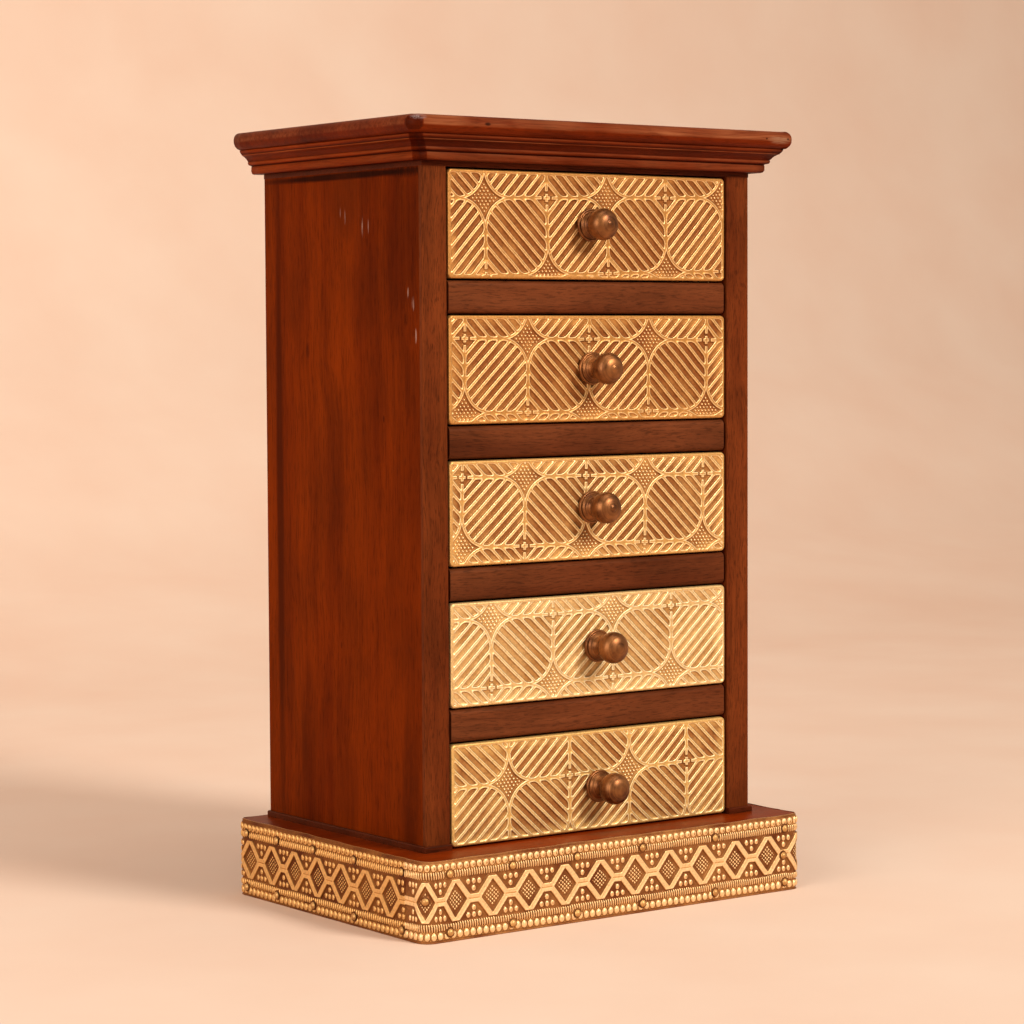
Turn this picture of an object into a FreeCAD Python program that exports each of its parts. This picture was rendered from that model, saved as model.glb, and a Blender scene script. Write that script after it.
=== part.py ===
import FreeCAD, Part
import math
import os
import re

import Sketcher

# Desktop chest of five drawers: a brass-clad plinth, a dark wooden carcass with a moulded crown, and
# five drawers with embossed brass faces and turned brass knobs. Millimetres. The origin is the centre
# of the plinth's footprint, on the table. X runs to the right along the front, the front faces -Y,
# and Z is up. Every drawer is drawn shut, which is where its slide stands at zero.

doc = FreeCAD.newDocument("DeskChest")
Vector = FreeCAD.Vector
DRAWERS = "12345"
NODES = []

# Driving dimensions: one cell each, in millimetres unless the name says count.
SIZES = [
    # carcass
    ("body_width", 199.0),
    ("body_depth", 137.5),
    ("side_thickness", 14.0),
    ("stile_thickness", 2.5),
    ("back_thickness", 8.0),
    ("floor_thickness", 3.0),
    ("floor_reveal", 1.5),
    ("rail_height", 15.5),
    ("rail_thickness", 10.0),
    ("rail_setback", 0.8),
    ("rail_end_gap", 1.5),
    ("rail_round", 2.5),
    ("shelf_thickness", 4.0),
    ("housing_depth", 4.0),
    ("housing_play", 0.2),
    ("eased_edge", 0.7),
    # plinth and its brass cladding
    ("plinth_height", 38.0),
    ("side_ledge", 17.0),
    ("front_ledge", 22.5),
    ("back_ledge", 6.0),
    ("plinth_board", 12.0),
    ("ledge_thickness", 8.0),
    ("band_thickness", 1.5),
    ("band_lip", 0.5),
    ("band_corner", 7.0),
    ("band_return", 9.0),
    ("band_seam", 0.3),
    ("pin_head_radius", 1.7),
    ("pin_head_height", 1.1),
    ("pin_shank_radius", 0.6),
    ("pin_shank_length", 8.0),
    ("pin_low_inset", 4.5),
    ("pin_high_inset", 6.9),
    ("pin_end_inset", 13.6),
    ("side_pin_end_inset", 14.5),
    ("front_pin_count", 6.0),
    ("side_pin_count", 5.0),
    # how far each pin was set from its even place, from left to right and from front to back
    ("front_pin_shift_1", 1.3),
    ("front_pin_shift_2", -3.9),
    ("front_pin_shift_3", -6.9),
    ("front_pin_shift_4", -8.1),
    ("front_pin_shift_5", -3.3),
    ("front_pin_shift_6", 1.3),
    ("side_pin_shift_1", 3.9),
    ("side_pin_shift_2", 9.7),
    ("side_pin_shift_3", 11.2),
    ("side_pin_shift_4", 10.0),
    ("side_pin_shift_5", 4.0),
    ("link_pin_inset", 13.3),
    ("link_pin_rise", 18.0),
    ("corner_pin_rise", 19.8),
    # relief of the cladding: a chain of diamonds in a flat ribbon, with sunk fields between them
    ("band_relief_depth", 0.8),
    ("chain_half_width", 6.6),
    ("chain_half_height", 8.0),
    ("chain_ribbon", 2.3),
    ("chain_link", 4.0),
    ("chain_field", 19.2),
    ("chain_pitch_front", 21.3),
    ("chain_pitch_left", 20.7),
    ("chain_pitch_right", 20.9),
    ("chain_start_front", 8.0),
    ("chain_start_left", 7.5),
    ("chain_start_right", -4.7),
    ("chain_rise_front", 19.0),
    ("chain_rise_left", 18.6),
    ("chain_rise_right", 18.8),
    # crown moulding, as steps outwards and upwards from the foot of the profile
    ("crown_reveal", 2.2),
    ("fascia_out", 5.8),
    ("fascia_round", 1.4),
    ("fascia_rise", 4.0),
    ("step_out", 1.6),
    ("step_rise", 0.6),
    ("fillet_out", 0.4),
    ("fillet_rise", 1.6),
    ("cove_out", 3.4),
    ("cove_rise", 3.2),
    ("cove_hollow", 1.2),
    ("ovolo_out", 1.2),
    ("ovolo_rise", 2.4),
    # top board
    ("top_thickness", 8.5),
    ("nosing_out", 3.4),
    ("nosing_under", 3.2),
    ("nosing_over", 3.4),
    ("nosing_tip_rise", 5.0),
    ("top_back_reveal", 2.5),
    ("left_corner_blunt", 4.5),
    ("right_corner_blunt", 1.2),
    # drawers
    ("front_height_1", 51.0),
    ("front_height_2", 51.0),
    ("front_height_3", 49.5),
    ("front_height_4", 49.5),
    ("front_height_5", 48.5),
    ("front_gap", 0.8),
    ("front_side_gap", 1.2),
    ("face_thickness", 1.5),
    ("face_rim", 0.8),
    ("face_rim_depth", 4.5),
    ("face_corner", 3.0),
    ("face_round", 0.8),
    ("front_board", 10.0),
    ("drawer_side", 6.0),
    ("drawer_end", 6.0),
    ("drawer_base", 3.0),
    ("base_raise", 3.0),
    ("groove_depth", 2.5),
    ("groove_play", 0.2),
    ("slide_gap", 0.3),
    ("head_gap", 2.0),
    ("rear_gap", 0.5),
    # relief of the brass faces: a lattice of stars and crosses, and slots from star to star
    ("relief_depth", 0.7),
    ("relief_border", 2.4),
    ("lattice_run", 36.7),
    ("lattice_rise_1", 36.4),
    ("lattice_rise_2", 34.9),
    ("lattice_rise_3", 33.0),
    ("lattice_rise_4", 32.8),
    ("lattice_rise_5", 33.4),
    ("lattice_tilt_1", 1.4),
    ("lattice_tilt_2", -0.5),
    ("lattice_tilt_3", -1.0),
    ("lattice_tilt_4", 0.0),
    ("lattice_tilt_5", 0.3),
    ("star_across_1", 9.6),
    ("star_across_2", 35.4),
    ("star_across_3", -4.2),
    ("star_across_4", 12.6),
    ("star_across_5", 22.4),
    ("star_up_1", 14.0),
    ("star_up_2", 13.7),
    ("star_up_3", -17.3),
    ("star_up_4", 16.4),
    ("star_up_5", 3.9),
    ("star_bend", 15.0),
    ("star_bend_gap", 0.2),
    ("star_ridge", 1.5),
    ("slot_pitch", 4.35),
    ("slot_width", 2.75),
    ("rib_width", 2.2),
    ("cross_reach", 4.6),
    ("cross_ridge", 1.6),
    ("cross_arm", 1.7),
    ("knob_seat_inset", 0.6),
    # knob and its screw
    ("flange_radius", 8.0),
    ("flange_rim", 1.1),
    ("flange_dome", 2.2),
    ("collar_radius", 4.9),
    ("collar_rise", 0.9),
    ("waist_radius", 3.4),
    ("waist_rise", 1.6),
    ("ball_radius", 7.7),
    ("ball_half_depth", 5.5),
    ("ball_reach_1", 11.2),
    ("ball_reach_2", 13.7),
    ("ball_reach_3", 12.7),
    ("ball_reach_4", 13.7),
    ("ball_reach_5", 13.7),
    ("knob_across_1", -1.3),
    ("knob_across_2", -0.6),
    ("knob_across_3", -1.1),
    ("knob_across_4", 2.2),
    ("knob_across_5", 2.8),
    ("knob_up_1", 0.7),
    ("knob_up_2", 0.0),
    ("knob_up_3", 0.5),
    ("knob_up_4", -0.5),
    ("knob_up_5", -2.9),
    ("knob_bore_depth", 5.6),
    ("screw_radius", 2.0),
    ("screw_play", 0.2),
    ("screw_bite", 5.2),
    ("screw_head_radius", 3.6),
    ("screw_head_height", 2.2),
    ("screw_slot_width", 1.0),
    ("screw_slot_depth", 1.1),
]

# Places worked out from the driving dimensions.
PLACES = [
    ("half_body", "body_width / 2"),
    ("half_opening", "half_body - side_thickness"),
    ("half_plinth", "half_body + side_ledge"),
    ("plinth_depth", "body_depth + front_ledge + back_ledge"),
    ("plinth_front", "-plinth_depth / 2"),
    ("plinth_back", "plinth_depth / 2"),
    ("wood_left", "-half_plinth + band_thickness"),
    ("wood_right", "half_plinth - band_thickness"),
    ("wood_front", "plinth_front + band_thickness"),
    ("wood_back", "plinth_back - band_thickness"),
    ("wood_corner", "band_corner - band_thickness"),
    ("frame_height", "plinth_height - ledge_thickness"),
    ("band_height", "plinth_height + band_lip"),
    ("body_front", "plinth_front + front_ledge"),
    ("body_back", "body_front + body_depth"),
    ("panel_front", "body_front + stile_thickness"),
    ("panel_back", "body_back - back_thickness"),
    ("floor_top", "plinth_height + floor_thickness"),
    ("rail_front", "body_front + rail_setback"),
    ("rail_back", "rail_front + rail_thickness"),
    ("opening_low_5", "plinth_height"),
    ("opening_high_5", "opening_low_5 + front_height_5 + 2 * front_gap"),
    ("opening_low_4", "opening_high_5 + rail_height"),
    ("opening_high_4", "opening_low_4 + front_height_4 + 2 * front_gap"),
    ("opening_low_3", "opening_high_4 + rail_height"),
    ("opening_high_3", "opening_low_3 + front_height_3 + 2 * front_gap"),
    ("opening_low_2", "opening_high_3 + rail_height"),
    ("opening_high_2", "opening_low_2 + front_height_2 + 2 * front_gap"),
    ("opening_low_1", "opening_high_2 + rail_height"),
    ("opening_high_1", "opening_low_1 + front_height_1 + 2 * front_gap"),
    ("crown_low", "opening_high_1 + crown_reveal"),
    ("lip_out", "fascia_out + step_out + fillet_out + cove_out + ovolo_out"),
    ("crown_rise", "fascia_rise + step_rise + fillet_rise + cove_rise + ovolo_rise"),
    ("top_low", "crown_low + crown_rise"),
    ("top_high", "top_low + top_thickness"),
    ("top_out", "lip_out + nosing_out"),
    ("top_depth", "body_depth + top_out + top_back_reveal"),
    ("half_front", "half_opening - front_side_gap"),
    ("half_box", "half_front - face_rim"),
    ("board_front", "body_front + face_thickness"),
    ("board_back", "board_front + front_board"),
    ("box_back", "panel_back - rear_gap"),
    ("floor_front", "board_back + 2 * rear_gap"),
    ("chain_low", "plinth_front + band_corner + band_return + band_seam + chain_ribbon"),
    ("chain_high", "plinth_back - band_corner"),
]


def formula(text):
    """The text of a formula with each size and place pointed at its own sheet."""
    def named(found):
        word = found.group(0)
        if word in size_names:
            return "Sizes." + word
        return "Places." + word if word in place_names else word
    return re.sub(r"[a-z]\w*", named, text)


def fill_sheet(name, rows):
    """A sheet with a label in column A and a value or formula with that alias in column B."""
    sheet = doc.addObject("Spreadsheet::Sheet", name)
    for row, (alias, content) in enumerate(rows, 1):
        sheet.set(f"A{row}", alias)
        sheet.set(f"B{row}", content)
        sheet.setAlias(f"B{row}", alias)
    doc.recompute()
    return sheet


size_names = {name for name, _ in SIZES}
place_names = {name for name, _ in PLACES}
sizes = fill_sheet("Sizes", [(name, str(number)) for name, number in SIZES])
places = fill_sheet("Places", [(name, "=" + formula(text)) for name, text in PLACES])
working = doc.addObject("Spreadsheet::Sheet", "Working")


def value(text):
    """The number that a formula comes to now, worked out on a sheet that nothing else depends on."""
    working.set("A1", "=" + formula(text))
    working.recompute()
    return float(working.get("A1"))


def bind(item, **formulas):
    """Ties properties to formulas: two underscores stand for the dot of a property's part."""
    for prop, text in formulas.items():
        item.setExpression(prop.replace("__", "."), formula(text))
    return item


def place(item, x, y, z, rotation=None):
    """Puts an object at a point given by three formulas."""
    if rotation:
        item.Placement = FreeCAD.Placement(Vector(0, 0, 0), rotation)
    return bind(item, Placement__Base__x=x, Placement__Base__y=y, Placement__Base__z=z)


def node(item, name):
    """Names a finished sub-part and keeps it for the export."""
    item.Label = name
    NODES.append(item)
    return item


def block(name, x, y, z):
    """A plain box between the low and high formulas of each axis."""
    box = doc.addObject("Part::Box", name)
    bind(box, Length=f"({x[1]}) - ({x[0]})", Width=f"({y[1]}) - ({y[0]})", Height=f"({z[1]}) - ({z[0]})")
    return place(box, x[0], y[0], z[0])


def rod(name, radius, x, y, z, length):
    """A cylinder along Y, starting at a point and running backwards."""
    cylinder = doc.addObject("Part::Cylinder", name)
    bind(cylinder, Radius=radius, Height=length)
    return place(cylinder, x, y, z, FreeCAD.Rotation(Vector(1, 0, 0), -90))


def cut(name, base, *tools):
    """The base with every tool taken out of it."""
    result = doc.addObject("Part::Cut", name)
    result.Base = base
    result.Tool = tools[0] if len(tools) == 1 else group(name + "_tools", *tools)
    return result


def common(name, base, tool):
    """What two shapes share."""
    result = doc.addObject("Part::Common", name)
    result.Base = base
    result.Tool = tool
    return result


def fuse(name, base, tool):
    """Two shapes joined into one."""
    result = doc.addObject("Part::Fuse", name)
    result.Base = base
    result.Tool = tool
    return result


def group(name, *items):
    """Separate solids kept together."""
    result = doc.addObject("Part::Compound", name)
    result.Links = list(items)
    return result


def new_sketch(body, name):
    """An empty sketch on the body's own XY plane."""
    sketch = body.newObject("Sketcher::SketchObject", name)
    plane = [item for item in body.Origin.OriginFeatures if item.Role == "XY_Plane"][0]
    sketch.AttachmentSupport = [(plane, "")]
    sketch.MapMode = "FlatFace"
    return sketch


def arc_between(start, end, height):
    """The short arc from start to end with its centre at a height, and whether it runs backwards."""
    middle = (start + end) * 0.5
    chord = end - start
    centre = Vector(middle.x - (height - middle.y) * chord.y / chord.x, height, 0)
    first, last = start - centre, end - centre
    backwards = first.x * last.y - first.y * last.x < 0
    if backwards:
        first, last = last, first
    circle = Part.Circle(centre, Vector(0, 0, 1), first.Length)
    angles = math.atan2(first.y, first.x), math.atan2(last.y, last.x)
    return Part.ArcOfCircle(circle, *angles), backwards


def outline(sketch, corners, arcs):
    """A closed outline through corners given by formulas. arcs maps each curved edge to the height of its
    centre, and the other edges are straight."""
    points = [Vector(value(x), value(y), 0) for x, y in corners]
    ends = []
    for index, start in enumerate(points):
        end = points[(index + 1) % len(points)]
        if index in arcs:
            edge, backwards = arc_between(start, end, value(arcs[index]))
            ends.append((2, 1) if backwards else (1, 2))
        else:
            edge = Part.LineSegment(start, end)
            ends.append((1, 2))
        sketch.addGeometry(edge, False)
    for index in range(len(points)):
        after = (index + 1) % len(points)
        joined = Sketcher.Constraint("Coincident", index, ends[index][1], after, ends[after][0])
        sketch.addConstraint(joined)
    for index, corner in enumerate(corners):
        for way, axis, text in (("DistanceX", -2, corner[0]), ("DistanceY", -1, corner[1])):
            tie(sketch, way, axis, index, ends[index][0], text)
    for index, height in arcs.items():
        tie(sketch, "DistanceY", -1, index, 3, height)


def tie(sketch, way, axis, edge, point, text):
    """Holds one coordinate of a sketch point at a formula, or on the axis where the formula is zero."""
    if text == "0":
        sketch.addConstraint(Sketcher.Constraint("PointOnObject", edge, point, axis))
        return
    number = sketch.addConstraint(Sketcher.Constraint(way, -1, 1, edge, point, value(text)))
    sketch.setExpression(f"Constraints[{number}]", formula(text))


def padded(name, corners, arcs, length):
    """A body whose outline is drawn in its XY plane and padded along its own Z."""
    body = doc.addObject("PartDesign::Body", name)
    sketch = new_sketch(body, name + "_outline")
    outline(sketch, corners, arcs)
    pad = body.newObject("PartDesign::Pad", name + "_pad")
    pad.Profile = sketch
    bind(pad, Length=length)
    doc.recompute()
    return body


def turned(name, corners, arcs):
    """A body turned about its own Y axis, from an outline of radius and length."""
    body = doc.addObject("PartDesign::Body", name)
    sketch = new_sketch(body, name + "_outline")
    outline(sketch, corners, arcs)
    turning = body.newObject("PartDesign::Revolution", name + "_turning")
    turning.Profile = sketch
    turning.ReferenceAxis = (sketch, ["V_Axis"])
    turning.Angle = 360
    doc.recompute()
    return body


def edges_on(shape, along=None, **sides):
    """Names of the edges on the low or high sides of the shape's box that run along the named axis."""
    box = shape.BoundBox
    near = 1e-4
    found = []
    for number, edge in enumerate(shape.Edges, 1):
        own = edge.BoundBox
        spans = {"x": own.XLength, "y": own.YLength, "z": own.ZLength}
        gaps = {
            ("x", "low"): own.XMax - box.XMin, ("x", "high"): box.XMax - own.XMin,
            ("y", "low"): own.YMax - box.YMin, ("y", "high"): box.YMax - own.YMin,
            ("z", "low"): own.ZMax - box.ZMin, ("z", "high"): box.ZMax - own.ZMin,
        }
        straight = along is None or all(spans[axis] < near for axis in spans if axis != along)
        if straight and all(abs(gaps[side]) < near for side in sides.items()):
            found.append(f"Edge{number}")
    return found


def rounded(body, radius, **where):
    """Rounds the body's edges that edges_on finds, by a radius given as a formula."""
    before = body.Tip
    fillet = body.newObject("PartDesign::Fillet", f"{body.Name}_round_{len(body.Group)}")
    fillet.Base = (before, edges_on(before.Shape, **where))
    bind(fillet, Radius=radius)
    doc.recompute()
    return body


def board(name, x, y, z):
    """A board as a body: its plan drawn from the low corner and padded to its thickness."""
    wide, deep, high = (f"({axis[1]}) - ({axis[0]})" for axis in (x, y, z))
    body = padded(name, [("0", "0"), (wide, "0"), (wide, deep), ("0", deep)], {}, high)
    return place(body, x[0], y[0], z[0])


def clipped(corners, walls):
    """What is left of an outline inside every wall. A wall is a point on it and the way inwards."""
    for foot, inwards in walls:
        kept = []
        for index, corner in enumerate(corners):
            before = corners[index - 1]
            depth, last = (corner - foot).dot(inwards), (before - foot).dot(inwards)
            if (depth > 0) != (last > 0):
                kept.append(before + (corner - before) * (last / (last - depth)))
            if depth > 0:
                kept.append(corner)
        corners = kept
    return corners


def area(corners):
    """The area of a flat outline."""
    return abs(sum(a.x * b.y - b.x * a.y for a, b in zip(corners, corners[1:] + corners[:1]))) / 2


def window(low_x, high_x, low_y, high_y):
    """The four walls of an upright rectangle."""
    return [(Vector(low_x, 0, 0), Vector(1, 0, 0)), (Vector(high_x, 0, 0), Vector(-1, 0, 0)),
            (Vector(0, low_y, 0), Vector(0, 1, 0)), (Vector(0, high_y, 0), Vector(0, -1, 0))]


def sunk(outlines, origin, across, inwards, depth):
    """Prisms that press flat outlines, drawn across and up from the origin, into an upright face."""
    solids = []
    for corners in outlines:
        ring = [origin + across * corner.x + Vector(0, 0, corner.y) - inwards for corner in corners]
        solids.append(Part.Face(Part.makePolygon(ring + ring[:1])).extrude(inwards * (1 + depth)))
    return Part.makeCompound(solids)


# The plinth is a frame of four boards under a ledge board, with the corners rounded for the brass.
WOOD_X = ("wood_left", "wood_right")
WOOD_Y = ("wood_front", "wood_back")


def build_plinth():
    frame = ("0", "frame_height")
    front = board("plinth_front_blank", WOOD_X, ("wood_front", "wood_front + plinth_board"), frame)
    rounded(front, "wood_corner", along="z", y="low")
    back = board("plinth_back_blank", WOOD_X, ("wood_back - plinth_board", "wood_back"), frame)
    rounded(back, "wood_corner", along="z", y="high")
    between = ("wood_front + plinth_board", "wood_back - plinth_board")
    left = block("plinth_left_end", ("wood_left", "wood_left + plinth_board"), between, frame)
    right = block("plinth_right_end", ("wood_right - plinth_board", "wood_right"), between, frame)
    ledge = board("plinth_ledge_board", WOOD_X, WOOD_Y, ("frame_height", "plinth_height"))
    rounded(ledge, "wood_corner", along="z")
    nail_holes = pin_array("pin_hole_array", shank_only=True)
    node(cut("plinth_front_cut", front, nail_holes), "plinth_front")
    node(cut("plinth_back_cut", back, nail_holes), "plinth_back")
    ends = group("plinth_end_blanks", left, right)
    node(cut("plinth_ends_cut", ends, nail_holes), "plinth_ends")
    node(cut("plinth_top_cut", ledge, nail_holes), "plinth_top")


def pin_points():
    """Foot of each pin on the brass and the way that its head faces: two rows along the front and the
    sides, one pin above the other on each return at the back, and two between the rows, one on the
    front's last link and one on the rounded left corner."""
    points = []
    for height in (value("pin_low_inset"), value("band_height - pin_high_inset")):
        for x in pin_row("front", value("half_plinth - pin_end_inset")):
            points.append((Vector(x, value("plinth_front"), height), Vector(0, -1, 0)))
        for y in pin_row("side", value("plinth_depth / 2 - side_pin_end_inset")):
            for side in (-1, 1):
                points.append((Vector(side * value("half_plinth"), y, height), Vector(side, 0, 0)))
        for side in (-1, 1):
            x = side * value("half_plinth - band_corner - band_return / 2")
            points.append((Vector(x, value("plinth_back"), height), Vector(0, 1, 0)))
    link = Vector(value("half_plinth - link_pin_inset"), value("plinth_front"), value("link_pin_rise"))
    points.append((link, Vector(0, -1, 0)))
    outwards = Vector(-1, -1, 0).normalize()
    turn_x, turn_y = value("band_corner - half_plinth"), value("plinth_front + band_corner")
    turn = Vector(turn_x, turn_y, value("corner_pin_rise"))
    points.append((turn + outwards * value("band_corner"), outwards))
    return points


def pin_row(side, reach):
    """Places of the pins of one row: evenly spaced from -reach to reach, each with its own shift."""
    count = round(value(f"{side}_pin_count"))
    shifts = [value(name) for name, _ in SIZES if name.startswith(f"{side}_pin_shift")]
    shifts += [0.0] * count
    return [-reach + 2 * reach * number / max(1, count - 1) + shifts[number] for number in range(count)]


def pin_array(name, shank_only=False):
    """Every brass pin as a solid of its own: a low domed head on a shank, or the hole for its shank."""
    head, rise = value("pin_head_radius"), value("pin_head_height")
    shank, length = value("pin_shank_radius"), value("pin_shank_length")
    dome_radius = (head * head + rise * rise) / (2 * rise)
    solids = []
    for foot, way in pin_points():
        stem = Part.makeCylinder(shank, length, foot, way * -1)
        if shank_only:
            solids.append(stem)
            continue
        ball = Part.makeSphere(dome_radius, foot + way * (rise - dome_radius))
        dome = ball.common(Part.makeCylinder(2 * head, 2 * rise, foot, way))
        solids.append(dome.fuse(stem).removeSplitter())
    feature = doc.addObject("Part::Feature", name)
    feature.Shape = Part.makeCompound(solids)
    return feature


def chain_outlines(side, low, high):
    """The sunk diamonds of one side's chain and the sunk fields above and below, between two ends."""
    pitch, start, rise = (value(f"chain_{word}_{side}") for word in ("pitch", "start", "rise"))
    wide, tall = value("chain_half_width"), value("chain_half_height")
    link, field = value("chain_link / 2"), value("chain_field / 2")
    outside = wide * tall + value("chain_ribbon") * math.hypot(wide, tall)
    near, far = (outside - wide * link) / tall, (outside - wide * field) / tall
    outlines = []
    for number in range(-round(value("plinth_depth") / pitch), round(value("plinth_depth") / pitch) + 1):
        middle = Vector(start + number * pitch, rise, 0)
        shapes = [[(-wide, 0), (0, -tall), (wide, 0), (0, tall)]]
        for way in (-1, 1):
            shapes.append([(near, way * link), (pitch - near, way * link), (pitch - far, way * field),
                           (far, way * field)])
        for shape in shapes:
            corners = clipped([middle + Vector(*point, 0) for point in shape], window(low, high, 0, 2 * rise))
            if len(corners) > 2 and area(corners) > 4 * link:
                outlines.append(corners)
    return outlines


def chain_relief(side):
    """The relief of one side's cladding, along its straight stretch."""
    if side == "front":
        reach = value("half_plinth - band_corner")
        low, high, across, inwards = -reach, reach, Vector(1, 0, 0), Vector(0, 1, 0)
        origin = Vector(0, value("plinth_front"), 0)
    else:
        way = -1 if side == "left" else 1
        low, high = value("chain_low"), value("chain_high")
        across, inwards = Vector(0, 1, 0), Vector(-way, 0, 0)
        origin = Vector(way * value("half_plinth"), 0, 0)
    feature = doc.addObject("Part::Feature", f"chain_relief_{side}")
    feature.Shape = sunk(chain_outlines(side, low, high), origin, across, inwards, value("band_relief_depth"))
    return feature


def build_cladding():
    """The embossed brass sheet, in three strips. The front strip turns both front corners, and each
    side strip starts at the seam beside it, turns the back corner and ends in a short return."""
    high = ("0", "band_height")
    outer = board("band_outer", ("-half_plinth", "half_plinth"), ("plinth_front", "plinth_back"), high)
    rounded(outer, "band_corner", along="z")
    inner = board("band_inner", WOOD_X, WOOD_Y, high)
    rounded(inner, "wood_corner", along="z")
    seam = "plinth_front + band_corner + band_return"
    back_end = "half_plinth - band_corner - band_return"
    across = ("-half_plinth", "half_plinth")
    zones = {
        "brass_band_front": (across, ("plinth_front", seam)),
        "brass_band_left": (("-half_plinth", f"-({back_end})"), (f"{seam} + band_seam", "plinth_back")),
        "brass_band_right": ((back_end, "half_plinth"), (f"{seam} + band_seam", "plinth_back")),
    }
    holes = pin_array("band_hole_array", shank_only=True)
    for name, (x, y) in zones.items():
        ring = cut(name + "_ring", outer, inner, holes)
        strip = common(name + "_strip", ring, block(name + "_zone", x, y, high))
        node(cut(name + "_pressed", strip, chain_relief(name.split("_")[-1])), name)
    node(pin_array("pin_array"), "band_pins")


def build_carcass():
    """Floor, sides, facing strips, back, rails, dust boards and the board under the crown."""
    floor = board("floor_blank", ("-half_body - floor_reveal", "half_body + floor_reveal"),
                  ("body_front - floor_reveal", "body_back"), ("plinth_height", "floor_top"))
    for side in ({"x": "low"}, {"x": "high"}, {"y": "low"}):
        rounded(floor, "floor_reveal / 2", z="high", **side)
    notch = block("floor_notch", ("-half_opening", "half_opening"),
                  ("body_front - 2 * floor_reveal", "floor_front"), ("plinth_height", "floor_top"))
    node(cut("floor_cut", floor, notch), "carcass_floor")

    upright = ("floor_top", "opening_high_1")
    walls = {"left": ("-half_body", "-half_opening"), "right": ("half_opening", "half_body")}
    for side, x in walls.items():
        panel = board(f"side_{side}_blank", x, ("panel_front", "panel_back"), upright)
        housings = [
            block(f"housing_{side}_{number}",
                  ("-half_opening - housing_depth - housing_play",
                   "half_opening + housing_depth + housing_play"),
                  ("rail_back", "panel_back"),
                  (f"opening_low_{number} - shelf_thickness", f"opening_low_{number} + housing_play"))
            for number in DRAWERS[:-1]
        ]
        node(cut(f"side_{side}_cut", panel, *housings), f"side_panel_{side}")
    stiles = []
    for side, x in walls.items():
        stile = board(f"stile_{side}", x, ("body_front", "panel_front"), upright)
        stiles.append(rounded(stile, "eased_edge", along="z", y="low"))
    node(group("stile_pair", *stiles), "stiles")
    back = board("back_blank", ("-half_body", "half_body"), ("panel_back", "body_back"), upright)
    node(rounded(back, "eased_edge", along="z", y="high"), "back_panel")

    for number in DRAWERS[:-1]:
        rail_top = f"opening_low_{number}"
        rail = board(f"rail_{number}_blank",
                     ("-half_opening + rail_end_gap", "half_opening - rail_end_gap"),
                     ("rail_front", "rail_back"), (f"{rail_top} - rail_height", rail_top))
        rounded(rail, "rail_round", along="x", y="low")
        node(rail, f"rail_{number}")
        tongue = ("-half_opening - housing_depth", "half_opening + housing_depth")
        shelf = block(f"shelf_{number}_board", tongue, ("rail_back", "panel_back"),
                      (f"{rail_top} - shelf_thickness", rail_top))
        node(shelf, f"dust_board_{number}")
    cap = block("cap_board", ("-half_body", "half_body"), ("body_front", "body_back"),
                ("opening_high_1", "top_low"))
    node(cap, "carcass_cap")


# The crown's profile runs outwards along the sketch's X and upwards along its Y, from the foot of
# the moulding's back: fascia with a rounded foot, step, fillet, cove and ovolo.
CROWN_CORNERS = [
    ("0", "0"),
    ("fascia_out - fascia_round", "0"),
    ("fascia_out", "fascia_round"),
    ("fascia_out", "fascia_rise"),
    ("fascia_out + step_out", "fascia_rise + step_rise"),
    ("fascia_out + step_out + fillet_out", "fascia_rise + step_rise + fillet_rise"),
    ("lip_out - ovolo_out", "crown_rise - ovolo_rise"),
    ("lip_out", "crown_rise"),
    ("0", "crown_rise"),
]
CROWN_ARCS = {
    1: "fascia_round",
    5: "fascia_rise + step_rise + fillet_rise - cove_hollow",
    6: "crown_rise",
}


def facing(outwards):
    """The turn that points a body's X outwards and its Y up."""
    up = Vector(0, 0, 1)
    return FreeCAD.Rotation(outwards, up, outwards.cross(up), "XYZ")


def mitre_block(name, x, angle):
    """A block with one long side on the mitre through the body's front corner, turned about Z."""
    reach = "3 * lip_out"
    stock = doc.addObject("Part::Box", name)
    bind(stock, Length=f"2 * {reach}", Width=f"2 * {reach}", Height="top_high")
    turn = FreeCAD.Rotation(Vector(0, 0, 1), angle)
    along = turn.multVec(Vector(1, 0, 0))
    return place(stock, f"{x} - ({along.x:.9f}) * {reach}",
                 f"body_front - ({along.y:.9f}) * {reach}", "0", turn)


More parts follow.
